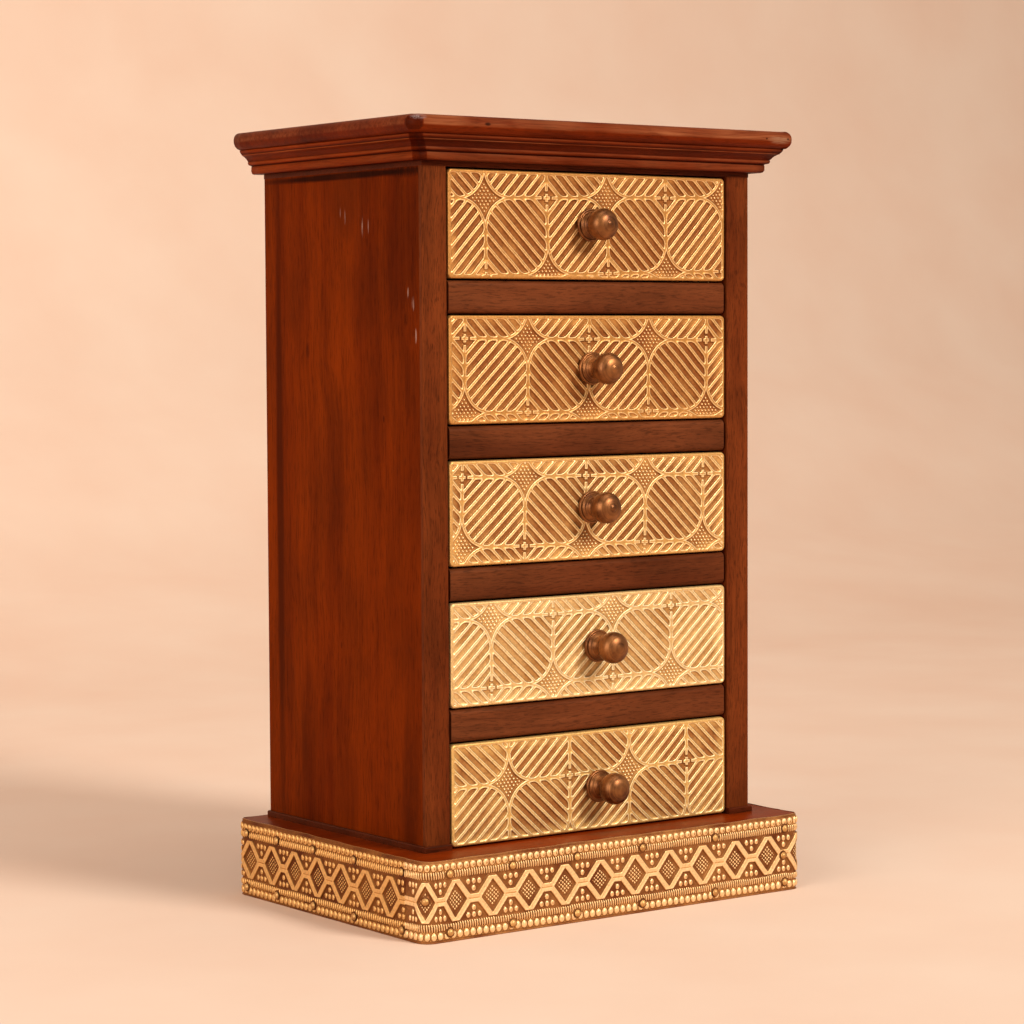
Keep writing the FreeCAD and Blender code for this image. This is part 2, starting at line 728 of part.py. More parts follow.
def build_crown():
    """Three mitred lengths of moulding, then the top board with its rounded nosing."""
    run = "body_width + 2 * lip_out"
    front = padded("crown_front_run", CROWN_CORNERS, CROWN_ARCS, run)
    place(front, "half_body + lip_out", "body_front", "crown_low", facing(Vector(0, -1, 0)))
    corners = (mitre_block("mitre_front_left", "-half_body", 45),
               mitre_block("mitre_front_right", "half_body", -45))
    node(cut("crown_front_cut", front, *corners), "crown_front")

    depth = "body_depth + lip_out + top_back_reveal"
    left = padded("crown_left_run", CROWN_CORNERS, CROWN_ARCS, depth)
    place(left, "-half_body", "body_front - lip_out", "crown_low", facing(Vector(-1, 0, 0)))
    right = padded("crown_right_run", CROWN_CORNERS, CROWN_ARCS, depth)
    place(right, "half_body", "body_back + top_back_reveal", "crown_low", facing(Vector(1, 0, 0)))
    returns = (cut("crown_left_cut", left, mitre_block("mitre_left", "-half_body", -135)),
               cut("crown_right_cut", right, mitre_block("mitre_right", "half_body", 135)))
    node(group("crown_return_pair", *returns), "crown_returns")

    across = padded("top_across", [
        ("nosing_under", "0"),
        ("2 * (half_body + top_out) - nosing_under", "0"),
        ("2 * (half_body + top_out)", "nosing_tip_rise"),
        ("2 * (half_body + top_out) - nosing_over", "top_thickness"),
        ("nosing_over", "top_thickness"),
        ("0", "nosing_tip_rise"),
    ], dict.fromkeys((1, 2, 4, 5), "nosing_tip_rise"), "top_depth")
    place(across, "-half_body - top_out", "body_back + top_back_reveal", "top_low",
          FreeCAD.Rotation(Vector(1, 0, 0), 90))
    endwise = padded("top_endwise", [
        ("0", "0"),
        ("top_depth - nosing_under", "0"),
        ("top_depth", "nosing_tip_rise"),
        ("top_depth - nosing_over", "top_thickness"),
        ("0", "top_thickness"),
    ], dict.fromkeys((1, 2), "nosing_tip_rise"), "2 * (half_body + top_out)")
    place(endwise, "half_body + top_out", "body_back + top_back_reveal", "top_low",
          facing(Vector(0, -1, 0)))
    blank = common("top_blank", across, endwise)
    blunt = (blunt_block("left", "-1", -135), blunt_block("right", "1", -45))
    node(cut("top_cut", blank, *blunt), "top_board")


def blunt_block(side, sign, angle):
    """A block that takes the point off a front corner of the top board, its face square to the mitre."""
    stock = doc.addObject("Part::Box", f"blunt_{side}")
    reach = "4 * top_out"
    bind(stock, Length=reach, Width=reach, Height="2 * top_thickness")
    turn = FreeCAD.Rotation(Vector(0, 0, 1), angle)
    beside = turn.multVec(Vector(0, 1, 0))
    inset = f"{side}_corner_blunt / 2"
    x = f"{sign} * (half_body + top_out - {inset}) - ({beside.x:.9f}) * {reach} / 2"
    y = f"body_front - top_out + {inset} - ({beside.y:.9f}) * {reach} / 2"
    return place(stock, x, y, "top_low - top_thickness / 2", turn)


# The stem of a turned knob, as radius against distance from the drawer's face: bored for its screw,
# with a rounded flange, a collar and a narrow waist that runs into the middle of the ball.
def knob_corners(reach):
    """The stem's outline, for a ball whose middle stands that far out."""
    return [
        ("screw_radius + screw_play / 2", "0"),
        ("flange_radius", "0"),
        ("flange_radius", "flange_rim"),
        ("collar_radius", "flange_rim + flange_dome"),
        ("collar_radius", "flange_rim + flange_dome + collar_rise"),
        ("waist_radius", "flange_rim + flange_dome + collar_rise + waist_rise"),
        ("waist_radius", reach),
        ("0", reach),
        ("0", "knob_bore_depth"),
        ("screw_radius + screw_play / 2", "knob_bore_depth"),
    ]


KNOB_ARCS = {2: "flange_rim", 4: "flange_rim + flange_dome + collar_rise + waist_rise"}


def turned_knob(tag, across, up, reach):
    """The knob, its ball a little flattened along its length."""
    stem = turned(f"{tag}_knob_stem", knob_corners(reach), KNOB_ARCS)
    place(stem, across, "body_front", up, FreeCAD.Rotation(Vector(0, 0, 1), 180))
    ball = doc.addObject("Part::Ellipsoid", f"{tag}_knob_ball")
    bind(ball, Radius1="ball_half_depth", Radius2="ball_radius", Radius3="ball_radius")
    place(ball, across, f"body_front - {reach}", up, FreeCAD.Rotation(Vector(1, 0, 0), 90))
    return fuse(f"{tag}_knob_whole", stem, ball)


def star_points():
    """The points of a star pressed between four arcs, round its middle."""
    bend = value("star_bend")
    radius = value("star_bend - star_bend_gap + star_ridge / 2")
    tip = math.acos(bend / radius)
    quarter = [1.25 * math.pi + (0.25 * math.pi - tip) * share for share in (1, 0.5, 0, -0.5)]
    points = [Vector(bend + radius * math.cos(turn), bend + radius * math.sin(turn), 0) for turn in quarter]
    turns = [FreeCAD.Rotation(Vector(0, 0, 1), angle) for angle in (0, 90, 180, 270)]
    return [turn.multVec(point) for turn in turns for point in points]


def square_outlines(run, rise):
    """The hollows in one square of the lattice, with stars at its first and last corners and crosses at
    the other two: the slots, and the quarters of both crosses."""
    diagonal = math.hypot(run, rise)
    along, aside = Vector(run, rise, 0) / diagonal, Vector(rise, -run, 0) / diagonal
    rib, half_slot, pitch = value("rib_width / 2"), value("slot_width / 2"), value("slot_pitch")
    walls = window(rib, run - rib, rib, rise - rib)
    bend, radius = value("star_bend"), value("star_bend - star_bend_gap - star_ridge / 2")
    for corner, way in ((Vector(0, 0, 0), 1), (Vector(run, rise, 0), -1)):
        for angle in (202.5, 225, 247.5):
            outwards = Vector(math.cos(math.radians(angle)), math.sin(math.radians(angle)), 0) * way
            walls.append((corner + Vector(bend, bend, 0) * way + outwards * radius, outwards * -1))
    reach, arm = value("cross_reach"), value("cross_arm / 2")
    outlines = []
    for corner, way in ((Vector(run, 0, 0), Vector(-1, 1, 0)), (Vector(0, rise, 0), Vector(1, -1, 0))):
        inwards = way / math.sqrt(2)
        walls.append((corner + inwards * value("cross_reach + cross_ridge"), inwards))
        leg = reach * math.sqrt(2) - arm
        quarter = ((arm, arm), (leg, arm), (arm, leg))
        outlines.append([corner + Vector(way.x * a, way.y * b, 0) for a, b in quarter])
    lines = int(run * rise / diagonal / pitch)
    for line in range(-lines, lines + 1):
        foot = aside * (line * pitch)
        stripe = [foot + aside * half_slot, foot + aside * half_slot + along * diagonal,
                  foot - aside * half_slot + along * diagonal, foot - aside * half_slot]
        outlines.append(clipped(stripe, walls))
    return outlines


def lattice_relief(number, middle, knob_centre):
    """The relief of one drawer's face: the lattice turned and cut off at the border, and left out under
    the knob's flange."""
    run, rise = value("lattice_run"), value(f"lattice_rise_{number}")
    turn = FreeCAD.Rotation(Vector(0, 0, 1), value(f"lattice_tilt_{number}"))
    start = Vector(value(f"star_across_{number}"), value(f"star_up_{number}"), 0)
    half_x, half_z = value("half_front - relief_border"), value(f"front_height_{number} / 2 - relief_border")
    border = window(-half_x, half_x, -half_z, half_z)
    columns, rows = int(2 * half_x / run) + 1, int(2 * half_z / rise) + 1
    square, star = square_outlines(run, rise), star_points()
    outlines = []
    for column in range(-columns, columns + 1):
        for row in range(-rows, rows + 1):
            plain = (column + row) % 2 == 0
            shapes = [[Vector(point.x if plain else run - point.x, point.y, 0) for point in shape]
                      for shape in square]
            if plain:
                shapes.append(star)
            corner = Vector(column * run, row * rise, 0)
            for shape in shapes:
                corners = clipped([start + turn.multVec(corner + point) for point in shape], border)
                if len(corners) > 2 and area(corners) > value("slot_width"):
                    outlines.append(corners)
    origin = Vector(0, value("body_front"), value(middle))
    relief = sunk(outlines, origin, Vector(1, 0, 0), Vector(0, 1, 0), value("relief_depth"))
    seat_radius = value("flange_radius - knob_seat_inset")
    seat_centre = Vector(value(knob_centre[0]), origin.y - 2, value(knob_centre[1]))
    seat = Part.makeCylinder(seat_radius, 4, seat_centre, Vector(0, 1, 0))
    feature = doc.addObject("Part::Feature", f"lattice_relief_{number}")
    feature.Shape = relief.cut(seat)
    return feature


def build_drawer(number):
    """One drawer: front board, brass face, pair of sides, back, base, knob and the knob's screw."""
    tag = f"drawer_{number}"
    low = f"opening_low_{number} + front_gap"
    high = f"{low} + front_height_{number}"
    middle = f"{low} + front_height_{number} / 2"
    runs_on = "floor_top" if number == DRAWERS[-1] else f"opening_low_{number}"
    box_z = (f"{runs_on} + slide_gap", f"opening_high_{number} - head_gap")
    box_x = ("-half_box", "half_box")

    blank = board(f"{tag}_front_blank", box_x, ("board_front", "board_back"),
                  (f"{low} + face_rim", f"{high} - face_rim"))
    rounded(blank, "face_corner - face_rim", along="y")
    across, up = f"knob_across_{number}", f"{middle} + knob_up_{number}"
    bore = rod(f"{tag}_bore", "screw_radius + screw_play", across, "body_front - front_board", up,
               "3 * front_board")
    base_z = (f"{box_z[0]} + base_raise", f"{box_z[0]} + base_raise + drawer_base")
    groove = block(f"{tag}_groove", ("-half_box + drawer_side - groove_depth - groove_play",
                                     "half_box - drawer_side + groove_depth + groove_play"),
                   ("board_back - groove_depth - groove_play", "box_back + rear_gap"),
                   (base_z[0], f"{base_z[1]} + groove_play"))
    node(cut(f"{tag}_front_cut", blank, bore, groove), f"{tag}_front")

    shell = board(f"{tag}_face_blank", ("-half_front", "half_front"),
                  ("body_front", "board_front + face_rim_depth"), (low, high))
    rounded(shell, "face_corner", along="y")
    rounded(shell, "face_round", y="low")
    plain = cut(f"{tag}_face_cut", shell, blank, bore)
    node(cut(f"{tag}_face_pressed", plain, lattice_relief(number, middle, (across, up))),
         f"{tag}_brass_face")

    sides = group(f"{tag}_side_blanks",
                  block(f"{tag}_left", ("-half_box", "-half_box + drawer_side"),
                        ("board_back", "box_back"), box_z),
                  block(f"{tag}_right", ("half_box - drawer_side", "half_box"),
                        ("board_back", "box_back"), box_z))
    node(cut(f"{tag}_sides_cut", sides, groove), f"{tag}_sides")
    inside = ("-half_box + drawer_side", "half_box - drawer_side")
    node(block(f"{tag}_end", inside, ("box_back - drawer_end", "box_back"), (base_z[1], box_z[1])),
         f"{tag}_back")
    between = ("-half_box + drawer_side - groove_depth", "half_box - drawer_side + groove_depth")
    node(block(f"{tag}_panel", between, ("board_back - groove_depth", "box_back"), base_z), f"{tag}_base")

    node(turned_knob(tag, across, up, f"ball_reach_{number}"), f"{tag}_knob")
    shank = rod(f"{tag}_screw_shank", "screw_radius", across, "body_front - screw_bite", up,
                "screw_bite + face_thickness + front_board + screw_head_height / 2")
    head = rod(f"{tag}_screw_head", "screw_head_radius", across, "board_back", up, "screw_head_height")
    slot = block(f"{tag}_screw_slot",
                 (f"{across} - 2 * screw_head_radius", f"{across} + 2 * screw_head_radius"),
                 ("board_back + screw_head_height - screw_slot_depth", "board_back + 2 * screw_head_height"),
                 (f"{up} - screw_slot_width / 2", f"{up} + screw_slot_width / 2"))
    node(cut(f"{tag}_screw_cut", fuse(f"{tag}_screw_blank", shank, head), slot), f"{tag}_knob_screw")


def check_and_write():
    """Stops on a failed object, then writes each sub-part's shape under its own name."""
    doc.recompute()
    for item in doc.Objects:
        if "Invalid" in item.State or "Error" in item.State:
            raise RuntimeError(f"{item.Name} ({item.Label}) failed: {item.State}")
    os.makedirs("parts", exist_ok=True)
    for item in NODES:
        shape = item.Shape
        if shape.isNull() or not shape.isValid() or not shape.Solids:
            raise RuntimeError(f"{item.Label} has no valid solid")
        shape.exportStep(os.path.join("parts", item.Label + ".step"))
        print(f"{item.Label}: {len(shape.Solids)} solid(s), {shape.Volume / 1000:.2f} cm3")


build_plinth()
build_cladding()
build_carcass()
build_crown()
for drawer in DRAWERS:
    build_drawer(drawer)
check_and_write()
print(f"{len(NODES)} sub-parts, {value('top_high'):.1f} mm tall, "
      f"{2 * value('half_plinth'):.1f} mm wide, {value('plinth_depth'):.1f} mm deep")
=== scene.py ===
# %% [markdown]
# A desktop chest of five drawers, dressed for the camera. The solids already give every board, drawer
# and knob its size and place. Here each one gets its finish, and the embossed brass, the knobs and the
# crown are modelled again in finer detail over their plain solids.

# %% Load the solids
import math

import bmesh
import bpy
import numpy as np
from mathutils import Matrix, Vector


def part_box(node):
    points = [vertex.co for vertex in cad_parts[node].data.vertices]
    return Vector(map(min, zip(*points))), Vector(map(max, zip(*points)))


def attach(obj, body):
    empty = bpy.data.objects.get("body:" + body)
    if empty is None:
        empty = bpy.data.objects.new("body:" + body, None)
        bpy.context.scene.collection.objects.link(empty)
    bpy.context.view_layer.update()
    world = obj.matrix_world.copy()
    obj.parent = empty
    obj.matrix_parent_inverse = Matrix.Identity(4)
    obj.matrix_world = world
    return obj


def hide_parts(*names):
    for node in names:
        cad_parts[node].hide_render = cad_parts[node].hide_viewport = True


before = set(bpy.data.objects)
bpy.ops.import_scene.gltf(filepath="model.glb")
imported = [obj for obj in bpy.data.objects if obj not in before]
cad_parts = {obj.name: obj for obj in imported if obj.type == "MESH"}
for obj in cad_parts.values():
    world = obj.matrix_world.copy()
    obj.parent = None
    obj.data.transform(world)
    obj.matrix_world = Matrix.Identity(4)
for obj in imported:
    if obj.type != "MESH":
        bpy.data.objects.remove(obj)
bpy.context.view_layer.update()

MM = 0.001
DRAWERS = (1, 2, 3, 4, 5)

# %% [markdown]
# The photograph was taken from the chest's left front, a little above its middle, with a long lens. The
# camera is placed by where it stood and by the three directions of its frame, worked out from the
# straight edges of the chest.

# %% Camera
def add_object(name, data):
    """Links a new object to the scene."""
    item = bpy.data.objects.new(name, data)
    bpy.context.scene.collection.objects.link(item)
    return item


def camera_axes(turn, dip, lean):
    """Right, up and forward of a camera turned from +Y towards +X, dipped below level and leaned."""
    forward = Vector((math.sin(turn) * math.cos(dip), math.cos(turn) * math.cos(dip), -math.sin(dip)))
    right = Vector((math.cos(turn), -math.sin(turn), 0.0))
    up = right.cross(forward)
    leaned_right = math.cos(lean) * right + math.sin(lean) * up
    return leaned_right, leaned_right.cross(forward), forward


def add_camera(place, turn, dip, lean, lens):
    right, up, forward = camera_axes(turn, dip, lean)
    data = bpy.data.cameras.new("camera")
    data.lens = lens
    data.sensor_width = 36.0
    data.clip_end = 20.0
    camera = add_object("camera", data)
    camera.matrix_world = Matrix.Translation(place) @ Matrix((right, up, -forward)).transposed().to_4x4()
    bpy.context.scene.camera = camera
    return forward


looks_along = add_camera(Vector((-0.8775, -1.1808, 0.2765)), 0.637, 0.058, -0.005, 103.55)
bpy.context.scene.view_settings.view_transform = "Standard"
print("camera looks along", [round(v, 3) for v in looks_along])

# %% [markdown]
# Materials are made of nodes. Short helpers add a node with its values and join it to others, so that each
# material below reads as a list of what it is made of. Each new node is put to the right of the last one,
# six to a row.

# %% Node helpers
def set_values(node, **values):
    """Sets a node's properties and inputs by name, with an underscore for each space."""
    for name, setting in values.items():
        if hasattr(node, name):
            setattr(node, name, setting)
        else:
            node.inputs[name.replace("_", " ")].default_value = setting
    return node


def add(tree, kind, **values):
    count = len(tree.nodes)
    node = tree.nodes.new(kind)
    node.location = (260 * (count % 6) - 1500, -380 * (count // 6))
    return set_values(node, **values)


def join(tree, source, target):
    tree.links.new(source, target)


def feed(tree, socket, given):
    """Joins another node's output to a socket, or sets a plain number or colour on it."""
    if isinstance(given, bpy.types.NodeSocket):
        join(tree, given, socket)
    else:
        socket.default_value = (*given, 1.0) if isinstance(given, tuple) else given


def reckon(tree, operation, *given, clamp=False):
    """A sum worked out on values, each a plain number or another node's output."""
    node = add(tree, "ShaderNodeMath", operation=operation, use_clamp=clamp)
    for socket, value in zip(node.inputs, given):
        feed(tree, socket, value)
    return node.outputs[0]


def times(tree, first, second):
    """The product of two masks, kept between 0 and 1."""
    return reckon(tree, "MULTIPLY", first, second, clamp=True)


def remap(tree, value, low, high, start=0.0, end=1.0):
    """Carries a value over from the range start to end to the range low to high."""
    node = add(tree, "ShaderNodeMapRange", From_Min=start, From_Max=end, To_Min=low, To_Max=high)
    join(tree, value, node.inputs["Value"])
    return node.outputs[0]


def noise(tree, place, scale, detail, roughness=0.5):
    """Clouds of so many features per metre, as values around 0.5."""
    node = add(tree, "ShaderNodeTexNoise", Scale=scale, Detail=detail, Roughness=roughness)
    join(tree, place, node.inputs["Vector"])
    return node.outputs["Fac"]


def ramp(tree, factor, stops):
    """A colour ramp from a list of (position, colour)."""
    node = add(tree, "ShaderNodeValToRGB")
    elements = node.color_ramp.elements
    while len(elements) < len(stops):
        elements.new(0.5)
    for element, (position, colour) in zip(elements, stops):
        element.position = position
        element.color = (*colour, 1.0)
    join(tree, factor, node.inputs["Fac"])
    return node.outputs["Color"]


def blend(tree, mode, factor, first, second):
    """Mixes two colours. A factor or colour may be a plain value or another node's output."""
    node = add(tree, "ShaderNodeMix", data_type="RGBA", blend_type=mode)
    for socket, given in zip((node.inputs["Factor"], node.inputs[6], node.inputs[7]), (factor, first, second)):
        feed(tree, socket, given)
    return node.outputs[2]


def add_bump(tree, shader, height, strength, distance):
    """Lets small heights shade the surface without moving it."""
    node = add(tree, "ShaderNodeBump", Strength=strength, Distance=distance)
    join(tree, height, node.inputs["Height"])
    join(tree, node.outputs[0], shader.inputs["Normal"])


def new_group(name, inputs, outputs):
    """A shader node group with its sockets, and the nodes at its two ends."""
    tree = bpy.data.node_groups.new(name, "ShaderNodeTree")
    for label, kind, start in inputs:
        socket = tree.interface.new_socket(label, in_out="INPUT", socket_type=kind)
        if start is not None:
            socket.default_value = start
    for label, kind in outputs:
        tree.interface.new_socket(label, in_out="OUTPUT", socket_type=kind)
    return tree, tree.nodes.new("NodeGroupInput"), tree.nodes.new("NodeGroupOutput")


def new_material(name):
    """A material with its shader, and the object coordinates that its patterns follow."""
    material = bpy.data.materials.new(name)
    material.use_nodes = True
    tree = material.node_tree
    place = add(tree, "ShaderNodeTexCoord").outputs["Object"]
    return material, tree, tree.nodes["Principled BSDF"], place


# %% [markdown]
# Wood figure is the same on every board: broad bands of darker and lighter wood along the grain, fine
# streaks in them, tiny dark pores, and cloudy blotches where the stain soaked in unevenly. One node group
# makes the four as masks, and each wood decides how strong they are and which way the grain runs.

# %% Wood figure group
FLOAT, VECTOR = "NodeSocketFloat", "NodeSocketVector"
# features per metre across and along the grain, and the noise's detail
FIGURE_LAYERS = {"Bands": (40.0, 3.2, 3.0), "Streaks": (400.0, 9.0, 3.0), "Pores": (1500.0, 110.0, 2.0),
                 "Blotches": (26.0, 14.0, 4.0)}


def make_wood_figure():
    tree, start, end = new_group("wood_figure", [("Place", VECTOR, None), ("Scale", FLOAT, 1.0)],
                                 [(name, FLOAT) for name in FIGURE_LAYERS])
    size = add(tree, "ShaderNodeVectorMath", operation="SCALE")
    join(tree, start.outputs["Place"], size.inputs[0])
    join(tree, start.outputs["Scale"], size.inputs["Scale"])
    sway = add(tree, "ShaderNodeTexNoise", Scale=9.0, Detail=2.0)
    join(tree, size.outputs[0], sway.inputs["Vector"])
    swayed = add(tree, "ShaderNodeVectorMath", operation="MULTIPLY_ADD")
    join(tree, sway.outputs["Color"], swayed.inputs[0])
    swayed.inputs[1].default_value = (0.014, 0.014, 0.0)
    join(tree, size.outputs[0], swayed.inputs[2])
    for name, (across, along, detail) in FIGURE_LAYERS.items():
        stretched = add(tree, "ShaderNodeMapping")
        stretched.inputs["Scale"].default_value = (across, across, along)
        join(tree, swayed.outputs[0], stretched.inputs["Vector"])
        join(tree, noise(tree, stretched.outputs[0], 1.0, detail, 0.6), end.inputs[name])
    return tree


wood_figure = make_wood_figure()
print("wood figure has", len(wood_figure.nodes), "nodes")

# %% [markdown]
# Turning the coordinates so that the grain runs along Z lets one recipe serve upright panels, rails that
# run across and drawer sides that run back. The colour goes from the deep stain to the lighter wood with
# the broad bands, and the fine streaks, pores and clouds darken it a little. A number for wear and shading
# says where an edge is rubbed bare or carries a painted highlight, or, below zero, where grime has gathered
# or painted shade lies in a groove. Marks are single stains, scratches and patches of painted shade: soft
# spots with a place, a reach and a colour of their own.

# %% Wood materials
GRAIN_TURNS = {"up": (0.0, 0.0, 0.0), "across": (0.0, math.radians(90), 0.0), "back": (math.radians(90), 0.0, 0.0)}


def soft_spot(tree, place, centre, reach):
    """1 inside an ellipsoid given in millimetres, falling softly to 0 at its surface."""
    local = add(tree, "ShaderNodeVectorMath", operation="MULTIPLY_ADD")
    join(tree, place, local.inputs[0])
    local.inputs[1].default_value = [1000.0 / r for r in reach]
    local.inputs[2].default_value = [-c / r for c, r in zip(centre, reach)]
    length = add(tree, "ShaderNodeVectorMath", operation="LENGTH")
    join(tree, local.outputs[0], length.inputs[0])
    return remap(tree, length.outputs["Value"], 0.0, 1.0, start=1.0, end=0.5)


def grey(value):
    return (value, value, value)


def make_wood(name, grain, dark, light, roughness=0.46, pores=0.30, blotch=0.30, worn_and_lit=None, grime_and_shade=None,
              scale=1.0, coat=0.0, shine=0.12, marks=()):
    """A stained board. grain says which way it runs; its wear colour lightens rubbed edges and painted highlights,
    and its grime colour darkens dirty corners and the painted shade in grooves; shine is the strength of its gloss."""
    material, tree, shader, place = new_material(name)
    turned = add(tree, "ShaderNodeMapping", Rotation=GRAIN_TURNS[grain])
    join(tree, place, turned.inputs["Vector"])
    figure = add(tree, "ShaderNodeGroup")
    figure.node_tree = wood_figure
    figure.inputs["Scale"].default_value = scale
    join(tree, turned.outputs[0], figure.inputs["Place"])
    middle = tuple((a + b) / 2 for a, b in zip(dark, light))
    colour = ramp(tree, figure.outputs["Bands"], [(0.32, dark), (0.50, middle), (0.68, light)])
    layers = (("Streaks", 0.38, 0.56, 0.16), ("Pores", 0.36, 0.48, pores), ("Blotches", 0.34, 0.60, blotch))
    for label, low, high, strength in layers:
        shade = ramp(tree, figure.outputs[label], [(low, grey(1 - strength)), (high, grey(1.0))])
        colour = blend(tree, "MULTIPLY", 1.0, colour, shade)
    if worn_and_lit:
        # above zero: rubbed edges and painted highlights; below zero: grime and painted shade in grooves
        rubbed_and_shaded = add(tree, "ShaderNodeAttribute", attribute_name="wear_and_shading").outputs["Fac"]
        breakup = ramp(tree, figure.outputs["Streaks"], [(0.36, grey(0.25)), (0.60, grey(1.0))])
        colour = blend(tree, "MIX", times(tree, rubbed_and_shaded, breakup), colour, worn_and_lit)
        colour = blend(tree, "MIX", times(tree, rubbed_and_shaded, -1.0), colour, grime_and_shade)
    ragged = ramp(tree, figure.outputs["Pores"], [(0.40, grey(0.0)), (0.55, grey(1.0))]) if marks else None
    for centre, reach, tint, strength in marks:
        spot = times(tree, soft_spot(tree, place, centre, reach), ragged if strength < 0.8 else 1.0)
        colour = blend(tree, "MIX", times(tree, spot, strength), colour, tint)
    join(tree, colour, shader.inputs["Base Color"])
    dull = remap(tree, figure.outputs["Blotches"], roughness - 0.08, roughness + 0.10)
    join(tree, dull, shader.inputs["Roughness"])
    set_values(shader, Coat_Weight=coat, Coat_Roughness=0.16, Coat_Tint=(1.0, 0.80, 0.60, 1.0),
               Specular_IOR_Level=shine, Specular_Tint=(1.0, 0.72, 0.50, 1.0))
    add_bump(tree, shader, figure.outputs["Pores"], 0.10, 0.0004)
    return material


CHALK, SOOT_AND_SHADE = (0.42, 0.26, 0.20), (0.010, 0.0015, 0.0005)
CLOUD = (0.050, 0.0060, 0.0005)
# single marks on the left side panel: painted shade under the crown, a dark line along its front edge, knots,
# scratches
PANEL_MARKS = [
    # the first two marks are painted shade, a dark line and band right under the crown
    ((-100, 5, 355.6), (6, 90, 2.2), SOOT_AND_SHADE, 0.90),
    ((-100, -48, 355.6), (6, 22, 3.4), SOOT_AND_SHADE, 0.75),
    ((-100, -61.0, 200), (3, 1.9, 190), SOOT_AND_SHADE, 0.90),
    ((-100, 64.5, 200), (3, 4.0, 190), CLOUD, 0.85),
    ((-100, 4, 336), (3, 0.7, 4), CHALK, 0.55),
    ((-100, 8, 338), (3, 0.6, 3), CHALK, 0.45),
    ((-100, -11, 332), (3, 0.7, 7), CHALK, 0.55),
    ((-100, -16, 331), (3, 0.5, 4), CHALK, 0.50),
    ((-100, -49, 299), (3, 0.8, 3), CHALK, 0.55),
    ((-100, -53, 294), (3, 1.2, 4), CHALK, 0.50),
    ((-100, -55, 279), (3, 1.0, 4), CHALK, 0.60),
    ((-100, -47, 287), (3, 2.2, 4), SOOT_AND_SHADE, 0.60),
    ((-100, 38, 272), (3, 2.0, 5), SOOT_AND_SHADE, 0.60),
    ((-100, 49, 296), (3, 9, 22), CLOUD, 0.55),
    ((-100, 4, 344), (3, 16, 22), CLOUD, 0.45),
    ((-100, -28, 240), (3, 0.9, 2.2), SOOT_AND_SHADE, 0.60),
    ((-100, 10, 130), (3, 1.0, 2.2), SOOT_AND_SHADE, 0.60),
    ((-100, 40, 90), (3, 9, 40), CLOUD, 0.60),
    ((-100, -48, 60), (3, 9, 50), CLOUD, 0.70),
    ((-100, 5, 60), (3, 14, 24), CLOUD, 0.35),
]
# near black, for grime on the blunted corner and for painted shade in the crown's grooves
GRIME_AND_SHADE = (0.018, 0.0010, 0.0003)
panel_wood = make_wood("panel_wood", "up", (0.099, 0.0095, 0.0002), (0.203, 0.0255, 0.0006), shine=0.015,
                       marks=PANEL_MARKS)
stile_wood = make_wood("stile_wood", "up", (0.110, 0.0177, 0.0032), (0.178, 0.0354, 0.0068), pores=0.45, scale=1.4,
                       shine=0.05)
rail_wood = make_wood("rail_wood", "across", (0.097, 0.0202, 0.0055), (0.163, 0.0414, 0.0125), pores=0.40, scale=1.3,
                      shine=0.06)
ledge_wood = make_wood("ledge_wood", "across", (0.155, 0.0140, 0.0006), (0.280, 0.0330, 0.0016), 0.42, shine=0.05,
                       coat=0.02)
# darker than the other woods: painted shade on the strip under the crown and on the shoe under the body
shaded_shoe_wood = make_wood("shaded_shoe_wood", "across", (0.060, 0.0075, 0.0012), (0.120, 0.0180, 0.0040), pores=0.5, shine=0.08)
# chips, knot and worn patches of the crown and top board
CROWN_MARKS = [
    ((-104, -69.5, 362.5), (1.1, 3, 1.4), (0.52, 0.14, 0.05), 0.85),
    ((-102, -67.0, 358.6), (2.2, 3, 1.6), (0.42, 0.15, 0.07), 0.85),
    ((-110, -73.0, 378.5), (4.5, 4.5, 1.8), (0.30, 0.21, 0.19), 0.60),
    ((-73, -77.0, 376.4), (2.2, 4, 1.0), SOOT_AND_SHADE, 0.85),
    ((107, -76.0, 375.6), (9, 6, 2.4), (0.26, 0.13, 0.07), 0.60),
    ((98, -77.0, 376.0), (0.8, 3, 0.6), SOOT_AND_SHADE, 0.85),
    ((112, -76.0, 376.2), (0.8, 3, 0.6), SOOT_AND_SHADE, 0.85),
]
crown_wood = make_wood("crown_wood", "across", (0.083, 0.0064, 0.0004), (0.160, 0.0172, 0.0012), 0.44, shine=0.05,
                       worn_and_lit=(0.32, 0.100, 0.036), grime_and_shade=GRIME_AND_SHADE, scale=1.3, marks=CROWN_MARKS)
return_wood = make_wood("return_wood", "back", (0.112, 0.0088, 0.0003), (0.212, 0.0230, 0.0008), 0.44, shine=0.03,
                        worn_and_lit=(0.31, 0.088, 0.022), grime_and_shade=GRIME_AND_SHADE, scale=1.3)
pine_across = make_wood("pine_across", "across", (0.35, 0.165, 0.058), (0.55, 0.30, 0.120), 0.66, blotch=0.15)
pine_back = make_wood("pine_back", "back", (0.35, 0.165, 0.058), (0.55, 0.30, 0.120), 0.66, blotch=0.15)
print("woods:", [m.name for m in bpy.data.materials])
